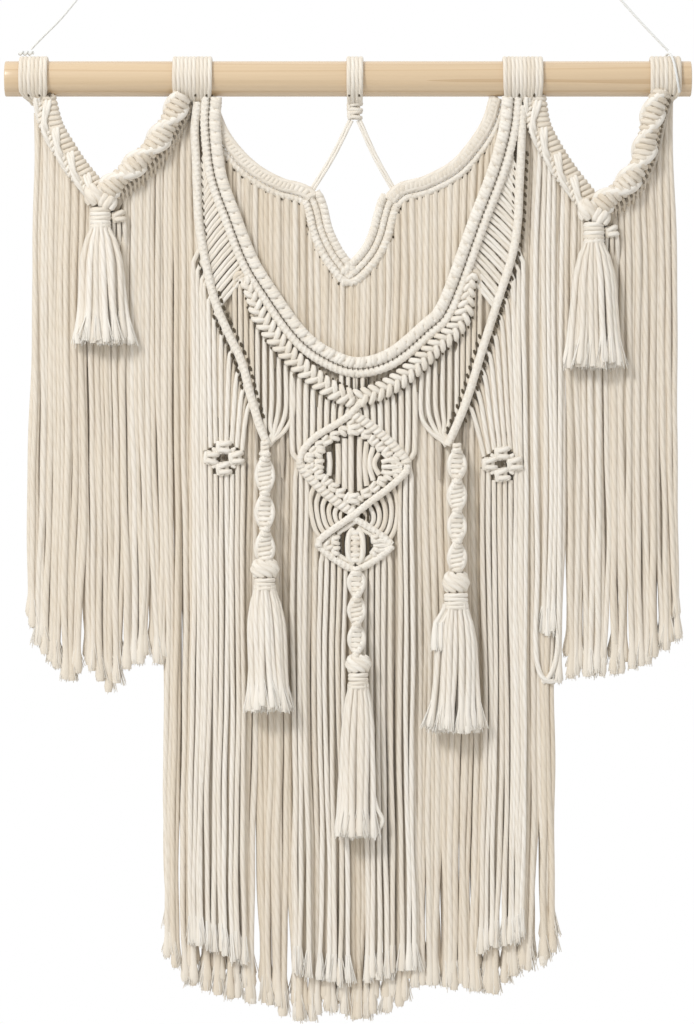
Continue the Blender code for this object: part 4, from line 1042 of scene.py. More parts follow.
def curtain_cords(xs, root, hem, spread=1.0, middle=0.0, tuck=5.0, fan=None):
    """Three layers of hanging cords from a root line. Near the hem they draw together in clumps.

    A fringe spreads from its middle, and the curtain has none. Tuck is how far the cords reach up behind
    the root line. Fan is the stretch of roots whose cords come from the rod, and their stretch there.
    """
    cords = []
    clumps = xs[0] - 12 + np.cumsum(chance.uniform(9, 19, 40))
    for x in xs:
        for shift, y, radius, short, tones in CURTAIN_LAYERS:
            start_x = x + shift + chance.uniform(-0.8, 0.8)
            end_x = middle + (start_x - middle) * spread
            settled = 0.0
            if not middle:
                settled = float(np.interp(start_x, CURTAIN_ROOTS, CURTAIN_SETTLED)) - start_x
                end_x += CURTAIN_FLARE * np.clip((start_x - 155) / 20, 0, 1)
            end = drop_at(hem, end_x + settled) - chance.uniform(0, 6) - short * chance.uniform(0.3, 1)
            top = drop_at(root, start_x) - tuck
            start = None
            if fan and fan[0] <= start_x <= fan[1]:
                start = Place(float(np.interp(start_x, fan[:2], fan[2:])), 17.0)
            clump = clumps[np.argmin(np.abs(clumps - start_x))]
            cord = hanging_cord(start_x, top, end, y + chance.uniform(-0.7, 0.7),
                                radius * chance.uniform(0.9, 1.1), end_x, drift=0.9, gathered=start,
                                settled=settled, drawn=(clump - start_x) * 0.42)
            # Tones differ at random; the curtain's are lower than a fringe's, and lower in each layer
            # further back, as painted shade.
            tone = chance.uniform(*tones) + (FRINGE_PALER if middle else 0.0)
            cords.append(cord._replace(tone=tone))
    return cords


def make_curtain(line):
    edge = beside(line, 8.9)
    left = np.vstack([smooth(SHOULDER_LEFT), part_between(edge, -130, -44)])
    right = np.vstack([part_between(edge, 52.8, 138), smooth(SHOULDER_RIGHT)])
    for name, root, fan in (("curtain_left", left, (-163, -128, -150, -125)),
                            ("curtain_right", right, (139, 190, 141, 167))):
        cords = curtain_cords(places_across(root[0, 0], root[-1, 0]), root, CURTAIN_HEM, fan=fan)
        lay(name + "_strands", cords, name)
    for side, start, end in (("left", -43.0, 4.9), ("right", 5.7, 51.4)):
        cords = curtain_cords(places_across(start, end), edge, CURTAIN_HEM)
        lay("curtain_vee_strands_" + side, cords, "curtain_vee_" + side)


def make_fringes():
    for fringe in FRINGES:
        middle = math.copysign(FRINGE_MIDDLE, fringe.root[0].x)
        root = smooth(fringe.root)
        cords = curtain_cords(places_across(root[0, 0], root[-1, 0]), root, FRINGE_HEM, fringe.spread,
                              middle, tuck=11.0)
        if fringe.name == "right_inner":
            cords += stray_ends()
        lay("fringe_strands_" + fringe.name, cords, "fringe_" + fringe.name)


def stray_ends():
    """Cords at the curtain's right edge: one turns in under the fringe, and short ones end in a tuft."""
    turned = [(168, -2.6, 60), (164, -3.2, 150), (163.5, -3.4, 300), (165.5, -3.6, 421),
              (163.8, -3.8, 489), (166.5, -4.0, 516), (173, -4.0, 526), (181, -1.5, 526), (186, 2.0, 520)]
    inner = [(189, 1.0, 80), (187, -2.0, 150), (185.4, -2.8, 300), (184.6, -2.8, 432), (183.6, -2.8, 489),
             (180.8, -3.2, 511), (175.5, -3.4, 523), (170, -2.8, 528)]
    cords = [bent(turned, 2.4, 10, tone=1.0), bent(inner, 2.4, 10, tone=0.9)]
    for x, end_x, end, y in ((184.0, 179.5, 527.0, 0.6), (188.5, 185.0, 529.0, -0.6),
                             (187.5, 182.0, 528.0, 3.6)):
        cords.append(hanging_cord(x, 74.0, end, y, 2.5, end_x))
    for x, top, y, end in ((170.5, 46.0, -3.0, 486.0), (174.5, 54.0, -3.6, 488.0),
                           (178.5, 62.0, -3.0, 484.0)):
        cord = hanging_cord(x + 2, top, end, y, end_x=x, drift=0.3)
        cords.append(cord._replace(tone=chance.uniform(0.6, 1.0)))
    return cords


# ------------------------------------------------------------------ tassels and swags

def tassel_cords(gather):
    """Cords that leave a wrap close together, swell at once, and spread to a frayed foot."""
    cords = []
    for share, count in TASSEL_RINGS:
        for number in range(count):
            turn = TAU * (number + chance.uniform(-0.3, 0.3)) / count
            wide, deep = math.cos(turn) * share, math.sin(turn) * share
            stop = gather.foot - chance.uniform(0, 6) - FRAYED_LENGTH * 0.86
            drops = np.concatenate([gather.top - 5 + (stop - gather.top + 5) * np.linspace(0, 1, 12) ** 1.3,
                                    stop + BRUSH_STEPS])
            fall = np.clip((drops - gather.top) / (gather.foot - gather.top), 0, 1)
            full = np.interp(fall, (0, 0.09, 0.28, 0.66, 1), (0, 0.3, 0.6, 0.72, 0.92))
            half = gather.half_width + (gather.foot_half_width - gather.half_width) * full
            half_deep = gather.half_depth + (gather.foot_half_depth - gather.half_depth) * full
            x = gather.x + (gather.foot_x - gather.x) * fall + wide * (half - 2)
            x += wander(drops, 3.0) * fall
            x += chance.uniform(-3.0, 3.0) * fall * fall
            y = gather.y + deep * (half_deep - 2)
            radius = 1.8 + 0.9 * np.clip(fall * 5, 0, 1)
            radius[-len(BRUSH_WIDTHS):] = 2.5 * BRUSH_WIDTHS
            cords.append(Cord(np.column_stack([x, y, drops]), radius, fray=FRAYED_SPREAD))
    return cords


def wrap_cords(x, y, top, turns, half_width, half_depth, radius, pitch):
    """Close turns of cord round a tassel's neck."""
    bar = Bar(np.array([(x, top), (x, top + (turns - 1) * pitch + 2 * radius)]), y)
    cords = [run(bar, side * (half_width - half_depth), 0, half_depth - 1.5) for side in (-0.9, 0.9)]
    return cords + [loop(bar, radius + pitch * turn, 0, half_width - radius, half_depth - radius, radius,
                         lean=0.8 * (-1) ** turn) for turn in range(turns)]


def band_arm(bar):
    """A broad arm that twists slowly: faces of grey ribs, and pale cords that cross to its lower edge."""
    cords = [run(bar, across, -0.2, 3.8, tone=0.4) for across in (-6.0, -2.0, 2.0, 6.0)]
    for along in bar.spots(4.7):
        cords.append(loop(bar, along, -3.4, 5.2, 2.3, 2.7, lean=-2.8, out=0.4,
                          tone=chance.uniform(0.2, 0.5)))
    for along in bar.spots(4.3):
        cords.append(loop(bar, along, 6.0, 2.6, 1.8, 2.4, lean=2.2, out=0.5,
                          tone=chance.uniform(0.6, 0.9)))
    share = np.linspace(0, 1, 18)
    across = np.interp(share, (0, 0.6, 1), (-3.4, 7.6, 9.4))
    out = np.interp(share, (0, 0.16, 0.3, 0.7, 1), (0.6, 4.2, 5.2, 4.0, 0.0))
    radius = np.interp(share, (0, 0.15, 0.8, 1), (1.3, 2.4, 2.3, 1.4))
    for start in np.arange(-25.0, bar.length - 14, 25.0):
        for twin, shift, length in ((0.0, 0.0, 46.0), (-3.4, 2.0, 33.0)):
            along = start + shift + length * share
            kept = (along > -1) & (along < bar.length + 1)
            if kept.sum() > 3:
                cords.append(Cord(bar.at(along, across + twin, out)[kept], radius[kept], tone=1.0))
    return cords


def underside(bar, across):
    """The small turns of cord under an arm, where the fringe leaves it, darkened with painted shade, with a
    cord of painted shadow behind them and dark shapes of painted shade between them.
    """
    pitch = 4.8
    # A cord of painted shadow behind the arm.
    cords = [run(bar, across + 2.6, -6.0, 3.6, start=5.0, end=4.0)._replace(shade=0.45)]
    for along in bar.spots(pitch, 4.0, 6.0):
        x, y, drop = bar.at(along, across, -1.0)[0]
        rows = [(x - 1.4, y + 1, drop - 2.4), (x + 0.8, y, drop + 0.6), (x + 1.6, y + 2.4, drop + 4.0),
                (x + 1.8, y + 7.5, drop + 8.5), (x + 1.8, y + 12.4, drop + 13)]
        # Each turn has a low tone and a little shade: painted shade under the arm.
        cords.append(bent(rows, 1.7, 3, tone=chance.uniform(0.0, 0.4), shade=0.12))
        x, y, drop = bar.at(along + pitch / 2, across + 2.4, -1.2)[0]
        # A dark shape of painted shade in the gap between turns.
        cords.append(painted_gap_shade(x, y, drop, 1.5, (0.6, 2.2), 0.8))
    return cords


def swag_tassel(x, top, foot_x, foot):
    """What gathers a swag's arms: two crossed knots, a wrap with a tassel, a small knot beside it, and a
    dark streak of painted shadow.
    """
    y = SWAG_TASSEL_Y
    cords = ball_knot(x - 4.5, y, top + 13, 10.8, 8.4, 11.5, cords_round=5, radius=3.9, swirl=1.0)
    cords += ball_knot(x + 6.0, y - 1.5, top + 19, 9.2, 7.2, 9.4, cords_round=5, radius=3.7, swirl=-1.0)
    cords += wrap_cords(x, y, top + 24.0, 5, half_width=9.6, half_depth=7.8, radius=2.4, pitch=3.6)
    cords += square_knot(x + 15.5, y + 3.0, top + 32, 6.8, 5.0, 3.4, radius=2.6, slope=0.2)
    for shift in (-4.0, 0.0, 4.0):
        cords.append(bent([(x + 15.5 + shift, y + 3, top + 32), (x + 16 + shift * 1.2, y + 4, top + 42),
                           (x + 16 + shift * 1.3, y + 8, top + 54),
                           (x + 16 + shift * 1.4, y + 13, top + 64)], 2.0))
    cords += tassel_cords(Gather(x, y - 1, top + 42, 8.6, 7.0, foot_x, foot, 25.0, 11.0))
    # A dark streak of painted shadow behind the small knot.
    dark = np.array([(x + 15.0, y + 5, top + 11), (x + 14.0, y + 5, top + 19), (x + 12.5, y + 5, top + 27)])
    cords.append(Cord(dark, np.array([2.8, 5.6, 3.0]), shade=0.55))
    return cords


def make_swags():
    for side, places in SWAG_BANDS:
        lay("swag_ribs_" + side, band_arm(Bar(places, SWAG_BAND_Y)), "swag_band_" + side)
    for side, places in SWAG_TWISTS:
        bar = Bar(places, SWAG_TWIST_Y)
        # The knots between the pale edge cords have low tones: painted shade in the twist's recesses.
        cords = half_knot_spiral(bar, half_width=10.8, half_depth=8.6, radius=2.9, pitch=5.4,
                                 half_turn=31.0, start_turn=0.5, edge=4.0, tones=(0.1, 0.6))
        cords += underside(bar, across=8.0)
        lay("swag_spiral_" + side, cords, "swag_twist_" + side)
    for side, *places in SWAG_TASSELS:
        lay("swag_tassel_cords_" + side, swag_tassel(*places), "swag_tassel_" + side)


# ------------------------------------------------------------------ collar, side bars and flowers

def knot_row_line(collar):
    """The middle line of the knot row under a collar half, and its half width at each point."""
    along = travelled(collar)
    start = distance_at_drop(collar, 168.0)
    below = along - start if collar[0, 1] < collar[-1, 1] else start - along
    kept = below >= 0
    travel = below[kept]
    half = 7.0 * np.clip(travel / 34.0, 0.15, 1.0)
    leaving = np.clip((travel - travel.max() + 70.0) / 70.0, 0, 1)
    line = collar[kept] + outward(collar)[kept] * (9.5 + half + 11.0 * leaving ** 2)[:, None]
    return line, half


def make_collar():
    whole = smooth(COLLAR)
    for side, low, high, bar_places in (("left", -200, COLLAR_MIDDLE, SIDE_BAR_LEFT),
                                        ("right", COLLAR_MIDDLE, 200, SIDE_BAR_RIGHT)):
        collar = Bar(part_between(whole, low - 0.6, high + 0.6), BARS_Y)
        cords = pillow_row(collar, -9.6, 2.0, 10.4, out=1.0, radius=3.5, depth=1.8, twin=0.14)
        # Painted shade in the seam between the pillows and the rope.
        cords += rope_edge(collar, 5.3, 0.6, 4.2) + painted_gap_shades(collar, 1.5, 3.8, 4.4, 0.5)
        lay("collar_knots_" + side, cords, "collar_" + side, tones=BAR_TONES)
        side_bar = Bar(bar_places, BARS_Y)
        cords = rope_edge(side_bar, 0.0, 0.6, 3.8, relief=0.2, pitch=4.4)
        cords += [run(side_bar, across, 0.7, 2.1) for across in (-1.8, 1.8)]
        # Painted shade in the gaps beside the side bar.
        for across, first, last, radius in SIDE_BAR_GAP_SHADES[side]:
            ends = sorted(distance_at_drop(side_bar.line, drop) for drop in (first, last))
            cords += painted_gap_shades(side_bar, across, -0.4, 7.2, radius, ends[0], side_bar.length - ends[1],
                             (0.8, 2.1))
        lay("side_bar_hitches_" + side, cords, "side_bar_" + side, tones=BAR_TONES)
        line, half = knot_row_line(collar.line)
        lay("knot_row_cords_" + side, knot_row_cords(Bar(line, BARS_Y), half), "knot_row_" + side,
            tones=KNOT_TONES)
        cords = collar_strands(side, collar, beside(line, half), beside(side_bar.line, -2.5))
        lay("collar_strand_cords_" + side, cords, "collar_strands_" + side, tones=NET_TONES)


def knot_row_cords(row, half):
    """Slanting lumps from both sides of a knot row in turn, on two core cords, with dark shapes of painted
    shade in the gaps beside them.
    """
    cords = [run(row, across, -1.2, 3.0) for across in (-2.4, 2.4)]
    for along in row.spots(7.6):
        reach = max(float(np.interp(along, row.steps, half)), 3.2) + 1.0
        for hand, shift in ((-1, 0.0), (1, 3.8)):
            places = along + shift + np.array([-3.4, -1.6, 0.6, 3.2, 5.4])
            across = hand * reach * np.array([0.9, 0.78, 0.42, -0.05, -0.35])
            lump = row.at(places, across, np.array([0.4, 2.6, 3.6, 3.0, 0.6]))
            cords.append(Cord(lump, np.array([1.7, 2.5, 2.9, 2.4, 1.5]), tone=chance.uniform(0.6, 1.0)))
            # A dark shape of painted shade in the gap before each lump.
            gap = row.at(along + shift - 4.6, hand * (reach + 0.6), 1.2)[0]
            cords.append(painted_gap_shade(*gap, 1.15, (0.4, 1.2)))
    return cords


def collar_strands(side, collar, row_edge, bar_edge):
    """Pairs of cords that slant from the collar to the side bar, then those that fall from the knot row."""
    inwards = 1 if side == "left" else -1
    collar_edge = beside(collar.line, 8.0)
    cords = []
    for drop in np.arange(68, 176, 8.4):
        for twin in (0.0, 3.9):
            start = at_drop(collar_edge, drop + twin)
            end = at_drop(bar_edge, drop + twin + np.interp(drop, (68, 176), (12, 27)))
            middle = (start + end) / 2 + (0.8 * inwards, -1.6)
            cords.append(run(Bar([start, middle, end], NET_Y - 0.4), 0, 0, 2.0, spacing=4.0))
    tip = SIDE_BAR_LEFT[-1] if side == "left" else SIDE_BAR_RIGHT[0]
    cords += strands_to_side_bar(row_edge, bar_edge, tip, inwards) + strands_to_diamond(row_edge, inwards)
    for shift in COLLAR_FOOT_CORDS[side]:
        x = COLLAR_MIDDLE - inwards * shift
        cords.append(bent([(x, NET_Y - 1, 254), (x, NET_Y - 2.0, 266), (x, NET_Y - 1, 282)], 2.0))
        # A dark shape of painted shade between the short cords at the collar's foot.
        cords.append(painted_gap_shade(x - inwards * 3.0, NET_Y - 1.6, 268, 1.0, (0.0, 5.0)))
    # Dark shapes of painted shade in the net's gaps under the knot row.
    return cords + [painted_gap_shade(x, NET_Y - 0.4, drop_at(row_edge, x) + 4.0, 2.1, (0.0, reach), 0.85)
                    for x, reach in NET_GAP_SHADES[side]]


def strands_to_side_bar(row_edge, bar_edge, tip, inwards):
    """Cords from the knot row. The outer ones end at the side bar, and the rest draw in to its tip."""
    cords = []
    x = -99.0 if inwards > 0 else 115.0
    while inwards * (tip.x - x) > -24.0:
        edge = drop_at(row_edge, x)
        past = inwards * (x - tip.x)
        rows = [(x + inwards * 6.5, NET_Y - 1.4, edge - 4.6), (x + inwards * 1.8, NET_Y - 1.2, edge - 2.6),
                (x, NET_Y, edge + 4.0)]
        if past < -2.0:
            foot = drop_at(bar_edge, x) + 2.0
            rows += [(x, NET_Y, (edge + foot) / 2), (x, NET_Y, foot)]
        else:
            foot = tip.drop - 9.0 + past * 0.28
            end_x = tip.x + inwards * min(2.0 + past * 0.1, 3.5)
            rows += [(x, NET_Y, (edge + foot) / 2 + 6), (x - inwards * past * 0.35, NET_Y, foot - 10),
                     (end_x + inwards * 1.5, NET_Y, foot - 2), (end_x - inwards * 2.5, NET_Y, foot + 3)]
        # The outer cords, which hang in shade, have low tones: painted shade.
        radius, tones, step = (2.3, (0.0, 0.4), 5.0) if past < -12 else (2.2, (0.5, 1.0), 6.2)
        cords.append(bent(rows, radius, 6, tone=chance.uniform(*tones)))
        x += inwards * step
    return cords


def strands_to_diamond(row_edge, inwards):
    """Cords from the knot row to the large diamond. Those outside it draw in to its corner."""
    cords = []
    corner = DIAMOND_LARGE.x - inwards * DIAMOND_LARGE.half_width
    for number in range(9):
        x = corner - inwards * 6.5 + inwards * (PITCH - 0.6) * number
        if inwards * (x - DIAMOND_LARGE.x) > -4.0:
            break
        edge = drop_at(row_edge, x + inwards * 2.0)
        rows = [(x + inwards * 9.0, NET_Y - 1.4, edge - 5.0), (x + inwards * 3.0, NET_Y - 1.2, edge - 2.2),
                (x, NET_Y, edge + 4.0)]
        if inwards * (corner - x) > 0:
            foot = DIAMOND_LARGE.drop - 2.0
            rows += [(x, NET_Y, foot - 16), (x + inwards * 2.0, NET_Y, foot - 5),
                     (corner + inwards, NET_Y, foot)]
        else:
            end_x = x - inwards * 0.6
            rows.append((end_x, NET_Y, diamond_side(DIAMOND_LARGE, end_x, 1.0, below=False)))
        if rows[3][2] - edge > 8:
            cords.append(bent(rows, 2.5, 6))
    return cords


def make_side_strands():
    """What hangs from each side bar: a flower knot with the cords above and below it."""
    for side, places, flower in (("left", SIDE_BAR_LEFT, FLOWER_LEFT),
                                 ("right", SIDE_BAR_RIGHT, FLOWER_RIGHT)):
        cords = strands_to_flower(smooth(places), flower, -1 if side == "left" else 1)
        lay("side_strand_cords_" + side, cords, "side_strands_" + side, tones=NET_TONES)
        lay("flower_knots_" + side, flower_knots(flower), "flower_" + side, tones=(0.8, 1.0))
        lay("flower_strand_cords_" + side, strands_under_flower(flower), "flower_strands_" + side)


def strands_to_flower(bar, flower, outside):
    """Eight cords from a side bar to its flower knot, with darker ones behind as painted shade, three that
    pass it, and dark shapes of painted shade in gaps near the flower.
    """
    cords = []
    for number in np.arange(0, 7.5, 0.5):
        behind = 2.4 * (number % 1 > 0)
        drop, rise = (float(np.interp(number, range(8), row))
                      for row in (FLOWER_CORD_DROPS, FLOWER_CORD_RISES))
        x, on_bar = at_drop(bar, drop)
        end_x, end = flower.x + outside * (16.2 - 4.6 * number), flower.drop - rise
        y = NET_Y + behind
        rows = [(x - outside * 1.0, y, on_bar - 3), (x + outside * 3.0, y, on_bar + 3),
                (x * 0.75 + end_x * 0.25 + outside * 3.6, y, on_bar + 14),
                (x * 0.3 + end_x * 0.7 + outside * 1.6, y, on_bar * 0.3 + end * 0.7), (end_x, y, end)]
        # The cords behind have low tones: painted shade.
        cords.append(bent(rows, NET_RADIUS, 8, tone=chance.uniform(0.1, 0.4) if behind else -1.0))
    for number in range(3):
        x, on_bar = at_drop(bar, 147 + 8 * number)
        cords.append(free_cord(x + outside * (8.6 - 2.2 * number), on_bar + 2, outside, 6.0))
    # Dark shapes of painted shade in gaps above and beside the flower.
    return cords + [painted_gap_shade(flower.x + across, NET_Y + 0.8, flower.drop + down, 1.3, reach, shade)
                    for places, down, reach, shade in (((-14.5, -5.0, 4.5), -27, (0.3, 9.0), 0.85),
                                                       ((-18.4, 18.4), 9, (0.0, 6.0), 0.8))
                    for across in places]


def flower_knots(flower):
    """Four square knots round a hole that holds a dark shape of painted shade, with a short cord between
    each two.
    """
    cords = [painted_gap_shade(flower.x, NET_Y - 3.0, flower.drop, 2.2, (0.0, 1.6))]
    for across, down in ((11.0, 0), (-11.0, 0), (0, 9.4), (0, -9.4)):
        cords += square_knot(flower.x + across, NET_Y - 1.4, flower.drop + down, 7.6, 6.2, 2.8, 2.5,
                             chance.uniform(-0.2, 0.2))
    for across, down in ((7.2, 6.2), (-7.2, 6.2), (7.2, -6.2), (-7.2, -6.2)):
        line = np.array([(flower.x + across * part, NET_Y - 2.0, flower.drop + down * part)
                         for part in (0.8, 1.1, 1.4)])
        cords.append(Cord(line, np.array([1.4, 2.4, 1.4])))
    return cords


def strands_under_flower(flower):
    cords = []
    for number in range(8):
        x = flower.x + 4.8 * (number - 3.5)
        end_x = flower.x + (x - flower.x) * 1.06
        top = flower.drop + (14.0 if 2 <= number <= 5 else 4.0)
        end = drop_at(NET_HEM, end_x) - chance.uniform(0, 6)
        cords.append(hanging_cord(x, top, end, NET_Y, end_x=end_x))
        # Dark shapes of painted shade in the gaps beside three of the cords.
        if number in (1, 3, 5):
            cords.append(painted_gap_shade(x + 2.4, NET_Y + 1.4, top + 13, 1.3, (0.2, 10.0), 0.8))
    return cords


# ------------------------------------------------------------------ diamonds

def diamond_knots(bar, sign, inside):
    """Square knots along the inner side of one side of a diamond, with dark shapes of painted shade in
    small gaps beside the rope.
    """
    cords = [run(bar, sign * (inside - 1.2), -1.6, 3.4, start=3.0, end=3.0)]
    for along in bar.spots(8.8, 6.0, 6.0):
        x, y, drop = bar.at(along, sign * inside, -0.8)[0]
        cords += square_knot(x, y, drop, 5.2, 4.4, 2.8, 2.2, chance.uniform(-0.9, 0.9))
        cords.append(painted_gap_shade(*bar.at(along + 4.4, sign * (inside - 3.7), 2.0)[0], 1.05, (0.4, 0.9)))
    return cords


def make_diamonds():
    """Two diamonds of rope and ribs, one under the other, with knots and cords inside."""
    lay("diamond_large_knots", large_diamond(DIAMOND_LARGE), "diamond_large", tones=KNOT_TONES)
    lay("diamond_small_rope", small_diamond(DIAMOND_SMALL), "diamond_small", tones=KNOT_TONES)
    lay("button_knot", button_knot(BUTTON), "diamond_button", tones=KNOT_TONES)
    lay("diamond_inner_cords", inner_cords(DIAMOND_LARGE), "diamond_strands", tones=(0.5, 1.0))
    for side, outside in (("left", -1), ("right", 1)):
        make_strands_under(side, outside)


def large_diamond(large):
    cords = rope_edge(Bar(UPPER_LEFT_ROPE, BARS_Y), 0.0, 1.4, 3.7, relief=0.2)
    cords += rope_edge(Bar(CROSSING_ROPE, BARS_Y), 0.0, 2.2, 3.7, relief=0.2)
    upper_right, lower_left = (Bar(diamond_quarter(large, right, not right), BARS_Y)
                               for right in (True, False))
    for bar in (upper_right, lower_left):
        cords += pillow_row(bar, -4.8, 4.8, 4.6, out=0.4, radius=2.7, twin=0.0)
    for bar, sign in ((Bar(UPPER_LEFT_ROPE[:7], BARS_Y), 1), (upper_right, 1), (lower_left, -1),
                      (Bar(CROSSING_ROPE[:6], BARS_Y), 1)):
        cords += diamond_knots(bar, sign, 8.0)
    for down in (-29.6, 30.2):
        cords += square_knot(large.x, BARS_Y - 0.8, large.drop + down, 5.8, 4.8, 2.6, 2.4)
    for x, drop in LARGE_KNOTS:
        cords += square_knot(x, BARS_Y + 0.2, drop, 4.9, 4.8, 2.8, 2.2, chance.uniform(-0.7, 0.7))
    cords += leaf_knot(47.0, BARS_Y - 0.8, 339.5, length=-17.5, half_height=8.2, radius=2.4)
    # Dark shapes of painted shade in the gaps between knots, and two long ones in slits of the net.
    cords += [painted_gap_shade(x, BARS_Y - 2.4, drop, 1.0, (0.4, 0.8)) for x, drop in LARGE_GAP_SHADES]
    return cords + [painted_gap_shade(-20.6, NET_Y - 1.4, 327.0, 1.6, (0.0, 17.0)),
                    painted_gap_shade(28.5, NET_Y - 1.4, 334.0, 1.2, (0.0, 8.0))]


def small_diamond(small):
    cords = rope_edge(Bar(SMALL_RIGHT_ROPE, BARS_Y), 0.0, 0.4, 3.7)
    for right in (False, True):
        cords += rope_edge(Bar(diamond_quarter(small, right, True), BARS_Y), 0.0, 0.4, 3.7)
    for right, below in ((True, False), (False, True), (True, True)):
        bar = Bar(diamond_quarter(small, right, below), BARS_Y)
        cords.append(run(bar, -4.8 if below else 4.8, -0.8, 2.4, start=4.0, end=4.0))
    cords.append(run(Bar(CROSSING_ROPE[5:], BARS_Y), -5.4, -0.8, 2.6, start=3.0, end=3.0))
    for x, drop, wide in SMALL_KNOTS:
        cords += square_knot(x, BARS_Y + 0.4, drop, wide, 4.4, 2.6, 2.1, chance.uniform(-0.7, 0.7))
    cords += leaf_knot(37.4, BARS_Y + 0.2, small.drop, length=-15.0, half_height=6.6, radius=2.2)
    # Dark shapes of painted shade in the gaps between knots, and two long ones in slits of the net below.
    cords += [painted_gap_shade(x, BARS_Y - 2.2, drop, 1.1, (0.8, 0.3)) for x, drop in SMALL_GAP_SHADES]
    return cords + [painted_gap_shade(x, NET_Y - 1.5, small.drop - 11.0, 1.8, (0.0, 22.0)) for x in (-4.4, 17.4)]


def button_knot(button):
    """Turns of cord on a post between two cords that bow out."""
    x, drop = button
    cords = []
    for side in (-1, 1):
        rows = [(x + side * out, y, drop + down) for out, y, down in (
            (2.0, -7.0, -15.5), (5.6, -8.8, -9.6), (6.6, -9.2, 0), (5.6, -8.8, 9.6), (2.0, -7.0, 15.5))]
        cords.append(bent(rows, 2.6))
    post = Bar(np.array([(x, drop - 13.0), (x, drop + 13.0)]), BARS_Y)
    cords.append(run(post, 0, 0.4, 3.2, tone=0.5))
    return cords + [loop(post, along, 0, wide, 1.6, 2.4, lean=lean, tone=tone)
                    for along, wide, lean, tone in BUTTON_TURNS]


def inner_cords(large):
    """Cords that stand inside the large diamond, with dark shapes of painted shade in two slits between
    them.
    """
    cords = []
    for x, bow in INNER_CORDS:
        end_x, bowed_x = x - bow * 0.6, x + bow * 0.4
        high, low = (diamond_side(large, end_x, -11.5, below) for below in (False, True))
        cords.append(bent([(end_x, -5.8, high), (bowed_x, -6.2, high * 0.65 + low * 0.35),
                           (bowed_x, -6.2, high * 0.35 + low * 0.65), (end_x, -5.8, low)], 2.6))
    return cords + [painted_gap_shade(x, -5.0, start, 1.6, (0.0, length))
                    for x, start, length in ((6.3, 312, 48), (-12.4, 326, 20))]


def make_strands_under(side, outside):
    """Cords from the lower sides of both diamonds: arcs between the two, and cords that hang free."""
    large, small = DIAMOND_LARGE, DIAMOND_SMALL
    cords = []
    for number in range(6):
        away = 8.0 + 5.3 * number
        x = large.x + outside * away
        start = diamond_side(large, x, 2.0, below=True)
        end_x = small.x + outside * (away * 0.8 + 2.0)
        end = diamond_side(small, end_x, 1.0, below=False)
        bow = outside * (3.4 + 0.35 * number)
        rows = [(x - outside * 1.5, NET_Y - 0.6, start - 2)]
        rows += [(x * (1 - across) + end_x * across + bow * bowed, NET_Y, start * (1 - down) + end * down)
                 for across, bowed, down in ((0.0, 0.62, 0.22), (0.4, 1.0, 0.5), (0.7, 0.7, 0.8))]
        rows.append((end_x - outside, NET_Y - 0.6, end + 1.0))
        cords.append(bent(rows, NET_RADIUS, tone=chance.uniform(0.4, 1.0)))
        # Dark shapes of painted shade in the gaps beside the first four arcs.
        if number < 4:
            cords.append(painted_gap_shade(x + bow * 0.5 - outside * 2.6, NET_Y + 1.2, start * 0.7 + end * 0.3, 1.3,
                                (outside * 1.0, 6.5)))
    cords += free_cords(large, outside, 3, 40.6, 5.3, 0.0)
    lay("under_diamond_large_" + side, cords, "diamond_large_strands_" + side)
    # A dark shape of painted shade in a gap beside the small diamond.
    cords = [painted_gap_shade(small.x + outside * 11.5, NET_Y + 1.4, 425, 1.3, (0.0, 14.0), 0.8)]
    cords += free_cords(small, outside, 5, 8.4, 5.5, 1.0)
    lay("under_diamond_small_" + side, cords, "diamond_small_strands_" + side)


def free_cords(diamond, outside, count, first, pitch, tuck):
    """Cords that hang free from a diamond's lower side. The last one starts nearer its middle."""
    cords = []
    for number in range(count):
        x = diamond.x + outside * (first + pitch * number)
        top = diamond_side(diamond, x, 0.0, below=True) + tuck
        cords.append(free_cord(x, top, outside, 3.0 if number == count - 1 else 0.0))
    return cords


def free_cord(x, top, outside, bend):
    """A cord that leaves a knotted bar, bends outwards and hangs to the hem of the net."""
    cord = hanging_cord(x, top, drop_at(NET_HEM, x) - chance.uniform(0, 6), NET_Y)
    leaving = np.clip(1 - (cord.line[:, 2] - top) / 16, 0, 1) ** 2
    cord.line[:, 0] -= outside * bend * leaving
    return cord


# ------------------------------------------------------------------ spirals

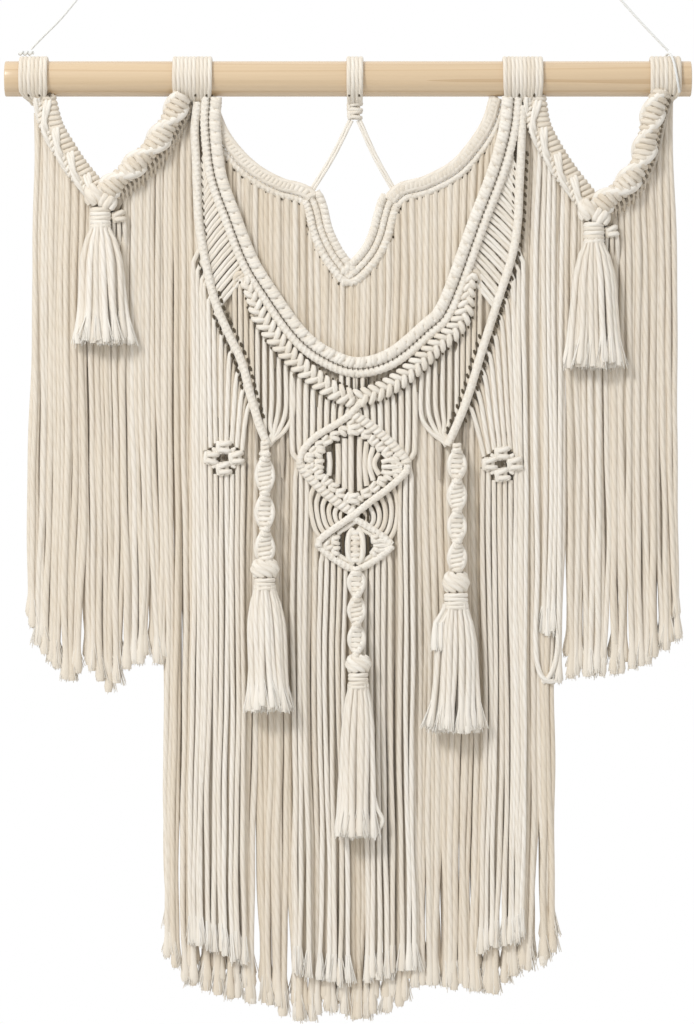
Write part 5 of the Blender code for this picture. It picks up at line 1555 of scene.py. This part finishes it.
def make_spirals():
    """Half knot spirals, each with a neck, a berry knot, a wrap and a tassel."""
    for row in SPIRALS:
        y = TASSEL_Y
        neck = Bar(np.array([(row.x, row.neck), (row.x, row.start + 3)]), SPIRAL_TOP_Y, SPIRAL_TOP_Y - 0.6)
        cords = [run(neck, across, 0, 2.2, spacing=3.0) for across in (-1.7, 1.7)]
        cords += [loop(neck, along, 0, 2.4, 1.6, 2.0, lean=1.4) for along in neck.spots(4.2)]
        bar = Bar(np.array([(row.x, row.start), (row.x, row.end)]), SPIRAL_TOP_Y, TASSEL_Y)
        edge_on = math.pi * (row.narrow - row.start) / row.half_turn + math.pi / 2
        cords += half_knot_spiral(bar, row.half_width, row.half_width * 0.58, radius=2.4, pitch=4.4,
                                  half_turn=row.half_turn, start_turn=edge_on, edge=3.0, tones=(0.6, 0.95))
        cords += ball_knot(row.ball_x, y, row.ball, row.ball_half_width, 9.0, row.ball_half_height,
                           cords_round=6, radius=3.7, swirl=1.5)
        wrap = row.ball + row.ball_half_height - 1.6
        cords += wrap_cords(row.ball_x, y, wrap, row.turns, row.wrap_half, half_depth=8.2, radius=2.0,
                            pitch=WRAP_PITCH)
        top = wrap + WRAP_PITCH * row.turns + 0.5
        cords += tassel_cords(Gather(row.ball_x, y, top, row.wrap_half + 0.4, 8.0, row.foot_x, row.foot,
                                     row.foot_half_width, 10.4))
        if row.side == "right":
            cords += early_tuft(row.ball_x - 7.0, y - 2.0, top - 2.0)
        if row.side == "centre":
            cords.append(bent([(18.0, y, 592), (21.0, y - 1, 618), (25.0, y - 1, 636), (30.0, y, 647),
                               (27.0, y + 1, 655)], 2.0, tone=1.0))
        else:
            outside = -1 if row.side == "left" else 1
            # Dark shapes of painted shade in the gaps beside the spiral's neck.
            cords.append(painted_gap_shade(row.x - outside * 15.0, NET_Y + 1.0, row.neck + 8, 2.6, (0.0, 24.0), 0.45))
            cords.append(painted_gap_shade(row.x + outside * 7.0, NET_Y + 1.0, row.neck - 6, 1.6, (0.0, 22.0), 0.6))
        lay("spiral_cords_" + row.side, cords, "spiral_" + row.side, tones=NET_TONES)


def early_tuft(x, y, drop):
    """Short cords that leave a tassel's wrap to the side and fray at once."""
    cords = []
    for shift, depth in ((0.0, 0.0), (-3.0, -1.0), (2.6, -1.2), (-1.2, 3.0)):
        falls = np.concatenate([np.linspace(-3, 13, 6), 13 + BRUSH_STEPS])
        out = np.clip(falls / 14, 0, 1) ** 1.2
        line = np.column_stack([x + shift - 8.5 * out, y + depth - 2.0 * out, drop + falls])
        radius = np.full(len(falls), 2.2)
        radius[-len(BRUSH_WIDTHS):] = 2.4 * BRUSH_WIDTHS
        cords.append(Cord(line, radius, fray=FRAYED_SPREAD))
    return cords


# ------------------------------------------------------------------ the whole hanging

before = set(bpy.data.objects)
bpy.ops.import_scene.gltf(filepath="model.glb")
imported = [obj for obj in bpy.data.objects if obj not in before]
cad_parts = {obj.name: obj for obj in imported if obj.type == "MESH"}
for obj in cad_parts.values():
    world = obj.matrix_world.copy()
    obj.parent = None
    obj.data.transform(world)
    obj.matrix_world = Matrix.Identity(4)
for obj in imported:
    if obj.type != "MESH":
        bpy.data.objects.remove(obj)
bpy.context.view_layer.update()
make_camera()
cord_tree = make_cord_tree()
# The last colour of each cord finish is the painted shade between its plies.
finishes = {
    "thread": cord_finish("thin_cord", (0.80, 0.80, 0.77), (0.68, 0.68, 0.66), (0.42, 0.42, 0.41), 6.0),
    "cotton": cord_finish("cotton_cord", (0.835, 0.80, 0.735), (0.635, 0.545, 0.42), (0.50, 0.41, 0.295),
                          15.0),
    "pine": pine_finish(),
}
make_hanger()
make_hitches()
make_studio()
make_rod()
make_loops()
make_centre_tie()
make_curtain(make_neckline())
make_fringes()
make_swags()
make_collar()
make_side_strands()
make_diamonds()
make_spirals()
